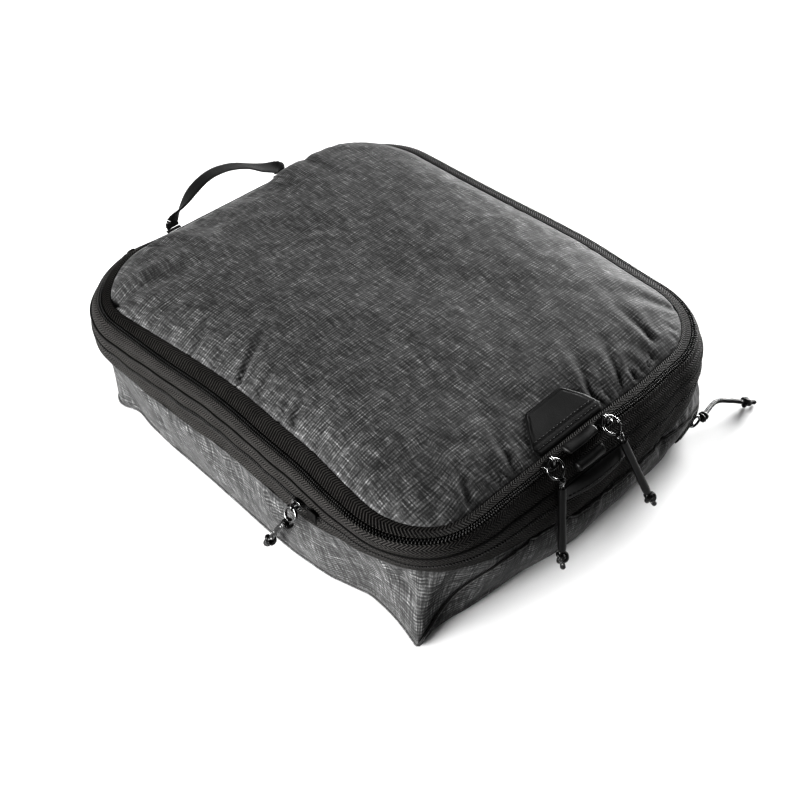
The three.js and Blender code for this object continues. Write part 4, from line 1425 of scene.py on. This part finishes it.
def wall_relief(s, t):
    """Creases hanging from the band's edge, and soft unevenness, as an outward distance."""
    shape = s.shape
    flat = np.stack([s.ravel(), t.ravel() * WALL_DROP], -1)
    total = np.zeros(len(flat))
    for at, down, lean, depth, width in wall_fold_keys():
        gap = (flat[:, 0] - at + PERIMETER / 2) % PERIMETER - PERIMETER / 2
        near = np.abs(gap) < 0.04
        local = np.stack([flat[near, 1], gap[near]], -1)
        total[near] += crease(local, (0.0, 0.0), (down, lean * down), depth, width)
    turn = 2 * math.pi * flat[:, 0] / PERIMETER
    for k, (waves, rise, size) in enumerate(WALL_WAVES):
        total += size * MM * np.sin(waves * turn + rise * flat[:, 1] + 1.7 * k)
    dent = (((flat - DENT_AT) / DENT_REACH) ** 2).sum(1)
    total -= DENT_DEPTH * np.exp(-dent)
    pinned = np.clip(flat[:, 1] / 0.003, 0, 1) * np.clip((WALL_DROP - flat[:, 1]) / 0.004, 0.15, 1)
    return (total * pinned).reshape(shape)


def wall_surface(s, t):
    """The creased wall's outer surface."""
    plan, out, z = wall_points(s, t)
    plan = plan + out * wall_relief(s, t)[..., None]
    return np.concatenate([plan, z[..., None]], -1)


def seam_path():
    """The raised seam's line over the wall, as stations and shares."""
    keys = np.array(SEAM_PATH, float)
    climb = through(keys[::-1] * [MM, 1.0], 14)
    begin, end = climb[-1, 0], climb[0, 0] + PERIMETER
    rest_s = np.linspace(begin, end, 560)[1:-1]
    rest = np.stack([rest_s, np.ones(len(rest_s))], -1)
    return np.concatenate([climb, rest])


def add_wall():
    """The stuffed side wall, grooved along its seam. Returns the seam's line."""
    s = np.repeat(ring_stations()[:, None], WALL_ROWS, 1)
    rows = np.linspace(0, 1, WALL_ROWS)
    t = np.repeat(rows[None], STATIONS, 0)
    points = wall_surface(s, t)
    path = seam_path()
    line = wall_surface(path[:, 0], path[:, 1])
    flat = points.reshape(-1, 3)
    _, gap = nearest(flat, line)
    _, out, _ = wall_points(s, t)
    groove = -0.0013 * np.exp(-((gap / 0.0018) ** 2))
    groove[t.ravel() > 0.97] = 0
    flat[:, :2] += out.reshape(-1, 2) * groove[:, None]
    u = np.append(ring_stations(), PERIMETER)
    skin = flat.reshape(points.shape)
    wall = lattice("shell_wall", skin, u, rows * WALL_LENGTH, HEATHER, True, False)
    turn_to_face(wall, (0, -1, 0), 10)
    thicken(wall, CLOTH, LINING)
    placed(wall, "lower_shell", "heather_fabric", "side_wall")
    return line


def add_base_seam(line):
    """The folded edge of cloth along the wall's seam, and a thin dark tube where the seam climbs, which is
    painted shadow under the fold.
    """
    fold = tube("base_fold", line, 0.0009, HEATHER, 10, closed=True)
    climbing = line[np.argmax(line[:, 2] > 0.003) :]
    climbing = climbing[: np.argmax(climbing[:, 2] < 0.003)]
    place = np.arange(len(climbing))
    radius = 0.0006 * smoothstep(np.minimum(place, place[::-1]), -2, 12)
    # Painted shadow: this thin dark tube along the climbing seam stands in for the shade under the folded
    # edge.
    tape = tube("base_seam_shadow", climbing + np.array([0, 0, 0.0011]), radius, EDGE_TAPE, 8)
    placed(fold, "lower_shell", "heather_fabric", "bottom_binding")
    placed(tape, "lower_shell", "zip_tape")


def add_base():
    """The base cloth, which sags to the floor inside its lifted rim."""
    rim_s = ring_stations(400)
    foot = wall_surface(rim_s, np.ones(len(rim_s)))
    rim = foot[:, :2]
    xy, faces, s, d = cut_sheet(rim_s, rim, 0.004)
    rim_z = foot_height(s)
    near = np.exp(-((d / 0.02) ** 2))
    sag = 0.0011 + hum(xy, 11, 12, 0.03, 0.09, 0.00035)
    z = rim_z * near + np.maximum(sag, 0.0004) * (1 - near)
    z[: len(rim)] = foot[:, 2]
    points = np.concatenate([xy, z[:, None]], -1)
    base = new_object("shell_base", points, faces, HEATHER, xy[faces].reshape(-1, 2))
    turn_to_face(base, (0, 0, -1))
    thicken(base, 0.0009, LINING)
    placed(base, "lower_shell", "heather_fabric", "bottom_panel")


def add_divider():
    """The cloth floor between the two compartments."""
    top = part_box("divider_panel")[1].z
    rim_s = ring_stations(300)
    plan, out, _ = wall_points(rim_s, np.full(len(rim_s), 0.3))
    rim = plan - out * 0.0035
    xy, faces, _, d = cut_sheet(rim_s, rim, 0.005)
    uneven = hum(xy, 21, 12, 0.04, 0.12, 0.0006) * np.clip(d / 0.02, 0, 1)
    z = top + uneven - 0.0015 * np.clip(d / 0.05, 0, 1)
    points = np.concatenate([xy, z[:, None]], -1)
    sheet = new_object("divider_cloth", points, faces, LINING, xy[faces].reshape(-1, 2))
    turn_to_face(sheet, (0, 0, 1))
    thicken(sheet, 0.0008)
    placed(sheet, "lower_shell", "lining_fabric", "divider_panel")


def add_gusset():
    """The expansion cloth folded behind the closed zip, which opens out as the collar rises on the real
    bag; here it is attached to no body and stays put.
    """
    rows = 26
    share = np.linspace(0, 1, rows)
    z = 0.0446 + 0.0242 * share
    offset = 0.0108 - 0.0012 * np.sin(math.pi * share) - 0.0009 * np.sin(3 * math.pi * share)
    s = ring_stations()[:, None]
    ripple = 0.0006 * np.sin(60 * 2 * math.pi * s / PERIMETER + 3 * share) * np.sin(math.pi * share)
    offsets = np.broadcast_to(offset[None] + ripple, (STATIONS, rows))
    points = band_points(s, offsets, np.broadcast_to(z[None], (STATIONS, rows)))
    u = np.append(ring_stations(), PERIMETER)
    cloth = lattice("gusset_cloth", points, u, share * 0.055, HEATHER, True, False)
    turn_to_face(cloth, (0, -1, 0), 10)
    thicken(cloth, 0.0008, LINING)
    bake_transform(cloth)
    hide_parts("expansion_gusset")


def above_wall(s, t, rise):
    """Points rise above the creased wall, and the wall's outward directions in plan."""
    plan, out, z = wall_points(s, t)
    out = unit(out)
    plan = plan + out * (wall_relief(s, t) * 0.6 + rise)[:, None]
    return np.concatenate([plan, z[:, None]], -1), out


def add_access_zip():
    """The lower compartment's zip, sewn on the wall from the front right corner back."""
    rear_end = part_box("access_zip_tape")[1].y
    begin = STRAIGHT_X
    end = begin + QUARTER + (rear_end + STRAIGHT_Y)
    wall_height = WALL_TOP_Z - FOOT_Z
    centre = (WALL_TOP_Z - ACCESS_ZIP_Z) / wall_height
    s = np.arange(begin, end, 0.0015)
    rows = []
    for up, rise in [(-1, -0.3), (-1, 0.7), (0, 0.9), (1, 0.7), (1, -0.3)]:
        share = np.full(len(s), centre - up * 0.0046 / wall_height)
        rows.append(above_wall(s, share, rise * MM + 0.0004)[0])
    across = [0, 0.001, 0.0056, 0.0102, 0.0112, 0.02]
    tape = lattice("access_tape", np.stack(rows, 1), s, across, ZIP_TAPE, False, True, 40)
    cap_ends(tape)
    placed(tape, "lower_shell", "zip_tape", "access_zip_tape")
    teeth = []
    for side in (-1, 1):
        at = np.arange(begin + 0.003, end - 0.003, 0.0014) + (0.0007 if side > 0 else 0.0)
        share = np.full(len(at), centre - side * 0.00075 / wall_height)
        centres, out = above_wall(at, share, 0.0011)
        up = np.concatenate([out, np.zeros((len(at), 1))], -1)
        along = np.stack([-out[:, 1], out[:, 0], np.zeros(len(at))], -1)
        across = np.tile([0.0, 0.0, 1.0], (len(at), 1))
        size = (0.00088, 0.0013, 0.0008)
        teeth.append(ribs(f"teeth_{side}", centres, along, across, up, size, NYLON))
    placed(joined("access_teeth", teeth), "lower_shell", "zip_coil", "access_zip_coil")


seam_line = add_wall()
add_base_seam(seam_line)
add_base()
add_divider()
add_gusset()
add_access_zip()


# ---- Label, rolls and tabs ---------------------------------------------------------------


def stitches(name, line, body, up):
    """Short raised stitches along a line."""
    pitch = 0.0032
    at = np.arange(pitch * 0.6, along_lengths(line)[-1] - pitch * 0.3, pitch)
    along = unit(along_line(line, at + 0.0004) - along_line(line, at - 0.0004))
    across = unit(np.cross(np.broadcast_to(np.asarray(up, float), along.shape), along))
    ups = np.cross(along, across)
    centres = along_line(line, at) - ups * 0.0001
    rows = ribs(name, centres, across, along, ups, (0.00055, 0.0022, 0.0004), THREAD)
    placed(rows, body, "coated_patch")


def label_half_width(y):
    """Half the label's width at a place in Y."""
    at = np.array(LABEL_ROWS) * MM
    return np.interp(y, at[:, 0], at[:, 1])


def label_surface(x, y):
    """Points just above the lid's cloth under the label, with the small folds smoothed away."""
    xy = np.stack([x, y], -1)
    rim_s = ring_stations()
    rim, _ = seam_plan(rim_s)
    s, d = nearest_on_rim(xy, rim_s, rim)
    z = crown_height(x, y) + hum(xy, 3, 14, 0.045, 0.14, 0.0011) * np.clip(d / 0.03, 0, 1)
    plan = lid_plan(xy, s, d)
    return np.concatenate([plan, z[:, None]], -1)


def add_label():
    """A six-sided coated patch with rounded corners, a pressed border and a sewn lower strip."""
    columns, rows = 56, 44
    y = np.linspace(-0.1656, -0.1408, rows)
    across = np.linspace(-1, 1, columns)
    corner = np.clip((y - y[-1] + 0.0030) / 0.0030, 0, 1)
    foot = np.clip((y[0] + 0.0022 - y) / 0.0022, 0, 1)
    half = label_half_width(y) - 0.0026 * (1 - np.sqrt(np.clip(1 - corner**2, 0, 1)))
    half -= 0.0018 * (1 - np.sqrt(np.clip(1 - foot**2, 0, 1)))
    x = LABEL_X + half[:, None] * across[None]
    yy = np.repeat(y[:, None], columns, 1)
    top = label_surface(x.ravel(), yy.ravel()).reshape(rows, columns, 3)
    inset_x = half[:, None] * (1 - np.abs(across[None]))
    inset = np.minimum(inset_x, np.minimum(yy - y[0], y[-1] - yy))
    lift = 0.0019 - 0.0010 * np.clip(1 - inset / 0.0018, 0, 1) ** 2
    lift -= 0.00035 * np.exp(-(((inset - 0.0026) / 0.00045) ** 2))
    lift -= 0.00045 * np.exp(-(((yy + 0.1596) / 0.0005) ** 2))
    top[..., 2] += lift
    patch = lattice("label_cloth", top, y, across * 0.03, PATCH, False, False)
    turn_to_face(patch, (0, 0, 1))
    thicken(patch, 0.0012)
    placed(patch, "lid", "coated_patch", "label_patch")
    for k, row_y in enumerate((-0.1622, -0.1580)):
        reach = label_half_width(row_y) - 0.0022
        line_x = LABEL_X + np.linspace(-reach, reach, 60)
        line = label_surface(line_x, np.full(60, row_y))
        line[:, 2] += 0.0019
        stitches(f"label_stitch_{k}", line, "lid", (0, -0.3, 1))


def roll(name, node, body, sag, wrap):
    """A rolled tab of coated cloth: rounded at each end, with the sheet's edge as a low step
    along its underside."""
    low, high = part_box(node)
    centre = (low + high) / 2
    size = high - low
    columns, sides = 44, 26
    share = np.linspace(0, 1, columns)
    x = low.x + size.x * share
    turn = 2 * math.pi * np.arange(sides) / sides
    bow = np.sin(math.pi * share)
    end = np.minimum(share, 1 - share) * size.x
    round_off = np.sqrt(np.clip(1 - (1 - np.clip(end / 0.0016, 0, 1)) ** 2, 0.08, 1))
    ridge = 1 + 0.06 * np.cos(2 * turn[None] + 4 * share[:, None])
    ridge += 0.035 * np.sin(9 * share[:, None] + turn[None])
    step = 1 + wrap * np.exp(-(((turn[None] - 4.2) / 0.35) ** 2))
    radius = round_off[:, None] * ridge * step
    y = centre.y - sag * bow[:, None] + np.cos(turn)[None] * radius * size.y * 0.54
    z = centre.z + 0.15 * sag * bow[:, None] + np.sin(turn)[None] * radius * size.z * 0.60
    xx = np.repeat(x[:, None], sides, 1)
    plan_swell = swell(np.clip(xx.ravel(), -STRAIGHT_X, STRAIGHT_X) % PERIMETER, z.ravel())
    y = y - plan_swell.reshape(y.shape)
    points = np.stack([xx, y, z], -1)
    obj = lattice(name, points, x, np.arange(sides + 1) * 0.0006, ROLL, False, True)
    cap_ends(obj)
    placed(obj, body, "coated_patch", node)


TAB_ROOT_Y = -0.1809
TAB_ROOT_Z = 0.0696


def add_lower_tab():
    """The grab tab under the zip: a stiff flap that bows out from the ridge."""
    low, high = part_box("lower_grab_tab")
    columns, rows = 60, 12
    share = np.linspace(0, 1, columns)
    x = low.x + (high.x - low.x) * share
    bow = np.sin(math.pi * share)
    s = x % PERIMETER
    down = np.linspace(0, 1, rows)
    start = TAB_ROOT_Y - swell(s, np.full(columns, 0.0685))
    outer = []
    for d in down:
        out = (0.0016 + 0.0052 * bow) * d**0.8 + 0.0005
        y = start - out
        z = TAB_ROOT_Z - (0.0090 * d) + 0.0009 * np.sin(math.pi * d) - 0.0012 * (1 - bow) * d
        outer.append(np.stack([x, y, z], -1))
    points = np.stack(outer, 1)
    flap = lattice("lower_tab_cloth", points, x, down * 0.009, ROLL, False, False)
    turn_to_face(flap, (0, -1, 0), columns)
    thicken(flap, 0.0012)
    rounded_off(flap, 0.0003, 0, 2)
    placed(flap, "collar", "coated_patch", "lower_grab_tab")
    line = points[2:-2, -3] + np.array([0, -0.0002, 0.0002])
    stitches("lower_tab_stitch", line, "collar", (0, -0.7, 0.7))


add_label()
roll("upper_tab_roll", "upper_grab_tab", "lid", 0.0006, 0.10)
roll("garage_roll", "zip_garage", "collar", 0.0003, 0.08)
add_lower_tab()


def soft_block(name, node, body, slot, material):
    """A small sewn tab where a CAD block stands, with rounded edges and a slightly puffed face."""
    low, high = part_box(node)
    size, centre = high - low, (low + high) / 2
    bm = bmesh.new()
    bmesh.ops.create_grid(bm, x_segments=9, y_segments=9, size=0.5)
    thin, b, a = sorted(range(3), key=lambda k: size[k])
    for v in bm.verts:
        puff = (1 - (2 * v.co.x) ** 4) * (1 - (2 * v.co.y) ** 4)
        p = Vector((0, 0, 0))
        p[a], p[b] = v.co.x * size[a], v.co.y * size[b]
        p[thin] = size[thin] * (0.25 + 0.25 * puff)
        v.co = p + centre
    mesh = bpy.data.meshes.new(name)
    bm.to_mesh(mesh)
    bm.free()
    verts = np.array([v.co for v in mesh.vertices])
    faces = [list(p.vertices) for p in mesh.polygons]
    uvs = np.concatenate([verts[f][:, [a, b]] for f in faces])
    obj = new_object(name, verts, faces, material, uvs)
    solid = obj.modifiers.new("thickness", "SOLIDIFY")
    solid.thickness = size[thin] * 0.75
    solid.offset = 0
    rounded_off(obj, 0.0004, 0)
    placed(obj, body, slot, node)


def end_stop(name, node, station):
    """A bar of tape sewn over the main zip's end, lying on the collar's tape."""
    s = np.linspace(station - 0.0024, station + 0.0024, 9)
    profile = through(np.array([(8.6, 84.4), (10.6, 82.4), (12.2, 78.6)]) * MM, 5)
    stations = np.repeat(s[:, None], len(profile), 1)
    puff = 0.0011 * (1 - (np.linspace(-1, 1, 9) ** 4))[:, None]
    points = band_points(stations, profile[None, :, 0] + puff, np.repeat(profile[None, :, 1], 9, 0))
    bar = lattice(name, points, s, along_lengths(profile), EDGE_TAPE, False, False)
    turn_to_face(bar, (0, 1, 0))
    thicken(bar, 0.0012)
    placed(bar, "collar", "zip_tape", node)


end_stop("zip_end_left", "main_zip_end_left", PERIMETER / 2 + ZIP_END_X)
end_stop("zip_end_right", "main_zip_end_right", PERIMETER / 2 - ZIP_END_X)
soft_block("compression_end", "compression_end_tab", "lower_shell", "zip_tape", EDGE_TAPE)
soft_block("handle_tack_l", "handle_tack_left", "collar", "webbing", STRAP)
soft_block("handle_tack_r", "handle_tack_right", "collar", "webbing", STRAP)


# ---- Handle ------------------------------------------------------------------------------

HANDLE_ROUTE = [
    (-0.0510, 0.1830, 0.0750), (-0.0509, 0.1832, 0.0790), (-0.0400, 0.1844, 0.0865),
    (-0.0270, 0.1860, 0.0945), (-0.0120, 0.1876, 0.0988), (0.0040, 0.1883, 0.0980),
    (0.0200, 0.1878, 0.0932), (0.0370, 0.1860, 0.0845), (0.0518, 0.1834, 0.0790),
    (0.0520, 0.1830, 0.0750),
]
STRAP_HALF = (0.005, 0.0008)  # half its width and half its thickness


def add_handle():
    """The rear grab strap: its width lies flat against the band at its feet and runs front to
    back at its top."""
    line = through(HANDLE_ROUTE, 22)
    run = along_lengths(line)
    share = run / run[-1]
    along = unit(np.gradient(line, axis=0))
    turn = smoothstep(np.minimum(share, 1 - share), 0, 0.3) * math.pi / 2
    across = np.stack([np.cos(turn), np.sin(turn), np.zeros(len(turn))], -1)
    across -= along * (across * along).sum(1)[:, None]
    across *= np.where(across[:, 1] < 0, -1.0, 1.0)[:, None]
    across = unit(across)
    out = np.cross(along, across)
    half = STRAP_HALF[0] * (1 + 0.028 * np.sign(np.sin(2 * math.pi * run / 0.0021)))
    section = [(-1, 0.35), (-0.93, 0.9), (-0.5, 1.0), (0, 0.92), (0.5, 1.0), (0.93, 0.9), (1, 0.35)]
    section = section + [(w, -h) for w, h in section[::-1]]
    rows = []
    for w, h in section:
        rows.append(line + across * (w * half)[:, None] + out * (h * STRAP_HALF[1]))
    points = np.stack(rows, 1)
    v = along_lengths(np.array(section) * STRAP_HALF, True)
    strap = lattice("handle_strap", points, run, v, STRAP, False, True)
    cap_ends(strap)
    placed(strap, "handle", "webbing", "handle_webbing")


add_handle()


# ---- Sliders and rings -------------------------------------------------------------------

# Half of a slider's outline, from its nose back, and half of its bridge's arch (mm).
SLIDER_HALF = [(5.5, -0.9), (3.4, -3.5), (-3.0, -3.5), (-5.3, -1.7)]
SLIDER_ARCH = [(0, -2.5, 1.0), (0, -2.62, 3.4), (0, -2.2, 5.4), (0, -1.1, 6.4)]


def slider_plate(name):
    """The slider's bevelled outer plate, a little narrower at its top."""
    plan = SLIDER_HALF + [(x, -y) for x, y in SLIDER_HALF[::-1]]
    bottom = [(x * MM, y * MM, 0.0) for x, y in plan]
    crown = [(x * MM * 0.93, y * MM * 0.9, 0.0016) for x, y in plan]
    n = len(plan)
    sides = [[k, (k + 1) % n, n + (k + 1) % n, n + k] for k in range(n)]
    ends = [list(range(n))[::-1], list(range(n, 2 * n))]
    plate = new_object(name + "_plate", bottom + crown, sides + ends, ENAMEL)
    face_outward(plate)
    return rounded_off(plate, 0.00035, 1)


def slider_bridge(name):
    """The arch that the pull hangs from, widest where it meets the plate."""
    arch = SLIDER_ARCH + [(0, 0, 6.6)] + [(x, -y, z) for x, y, z in SLIDER_ARCH[::-1]]
    line = through(np.array(arch) * MM, 5)
    along, _, _ = carried_frames(line)
    wide = np.array([1.0, 0, 0])
    deep = np.cross(along, wide)
    length = along_lengths(line)
    grow = 1 + 0.25 * np.abs(length / length[-1] - 0.5) * 2
    rows = []
    for w, h in [(-1, -0.5), (-0.7, 0.6), (0, 0.8), (0.7, 0.6), (1, -0.5), (0, -0.75)]:
        rows.append(line + wide * (w * 0.00105 * grow)[:, None] + deep * (h * 0.0008))
    v = np.arange(len(rows) + 1) * 0.001
    bridge = lattice(name + "_bridge", np.stack(rows, 1), length, v, ENAMEL, False, True)
    cap_ends(bridge)
    return bridge


def slider_parts(name):
    """A zip slider on its own frame: the zip runs along X and +Z points away from the tape."""
    parts = [slider_plate(name), slider_bridge(name)]
    for side in (-1, 1):
        route = [(-4.9, 2.0, 0.5), (-2.6, 3.45, 0.6), (3.0, 3.45, 0.6), (5.0, 1.3, 0.5)]
        rail = through(np.array(route) * [1, side, 1] * MM, 6)
        parts.append(tube(f"{name}_rail_{side}", rail, 0.00062, ENAMEL, 8))
    return joined(name, parts)


def basis(x, y, z, size=1.0):
    """The turn that carries a slider's own axes to x, y and z, at that size."""
    return Matrix((x, y, z)).transposed().to_4x4() @ Matrix.Scale(size, 4)


def add_slider(name, node, body, turn, seat):
    """A slider turned to its zip, with the middle of its plate's underside on the seat."""
    slider = slider_parts(name)
    slider.data.transform(Matrix.Translation(Vector(seat)) @ turn)
    placed(slider, body, "black_metal", node)


def add_ring(name, node, body, pivot, axis, fall, radius, wire=0.00085):
    """A wire ring hung from the slider's bridge, very slightly out of round."""
    along = Vector(axis).normalized()
    down = Vector(fall) - along * Vector(fall).dot(along)
    down.normalize()
    t = np.linspace(0, 2 * math.pi, 64, endpoint=False)
    a, d, p = np.array(along), np.array(down), np.array(pivot)
    stretch = 1 + 0.03 * np.cos(2 * t)
    sideways = (np.sin(t) * radius)[:, None] * a
    hanging = (-np.cos(t) * radius * stretch)[:, None] * d
    line = p + d * radius + sideways + hanging
    ring = tube(name, line, wire, ENAMEL, 12, closed=True)
    placed(ring, body, "black_metal", node)


MAIN_RING = 0.006
SMALL_RING = 0.0046
SMALL_SLIDER = 0.85
RING_HINGE = (1, 0, 0)
LEFT_X, RIGHT_X = -0.04, 0.01
ZIP_FRONT_Y = -0.174
PLATE_Z, PIVOT_Z = 0.0844, 0.089
BAND_SLIDER_Y, BAND_ZIP_Z = -0.075, 0.058

add_slider(
    "main_slider_l", "main_slider_body_left", "main_slider_left",
    Matrix.Identity(4), (LEFT_X, ZIP_FRONT_Y, PLATE_Z),
)
add_slider(
    "main_slider_r", "main_slider_body_right", "main_slider_right",
    basis((-1, 0, 0), (0, -1, 0), (0, 0, 1)), (RIGHT_X, ZIP_FRONT_Y, PLATE_Z),
)
add_ring(
    "main_ring_l", "main_pull_left_ring", "main_pull_left",
    (LEFT_X, ZIP_FRONT_Y, PIVOT_Z), RING_HINGE, (0, -0.68, -0.73), MAIN_RING,
)
add_ring(
    "main_ring_r", "main_pull_right_ring", "main_pull_right",
    (RIGHT_X, ZIP_FRONT_Y, PIVOT_Z), RING_HINGE, (0, -0.9, -0.44), MAIN_RING,
)
add_slider(
    "compression_slider_metal", "compression_slider_body", "compression_slider",
    basis((0, -1, 0), (0, 0, 1), (-1, 0, 0), SMALL_SLIDER), (-0.152, BAND_SLIDER_Y, BAND_ZIP_Z),
)
add_ring(
    "compression_ring", "compression_pull_ring", "compression_pull",
    (-0.15591, BAND_SLIDER_Y, BAND_ZIP_Z), (0, 1, 0), (-0.42, 0, -0.9), SMALL_RING, 0.0011,
)
ACCESS_TURN = math.radians(12)
ACCESS_OUT = Vector((math.sin(ACCESS_TURN), -math.cos(ACCESS_TURN), 0))
ACCESS_ALONG = Vector((math.cos(ACCESS_TURN), math.sin(ACCESS_TURN), 0))
add_slider(
    "access_slider_metal", "access_slider_body", "access_slider",
    basis((0, 0, 1), -ACCESS_ALONG, ACCESS_OUT, SMALL_SLIDER), (0.109996, -0.176464, ACCESS_ZIP_Z),
)
add_ring(
    "access_ring", "access_pull_ring", "access_pull", (0.11081, -0.18029, ACCESS_ZIP_Z),
    (0, 0, 1), tuple(ACCESS_ALONG * 0.93 + ACCESS_OUT * 0.36), SMALL_RING,
)
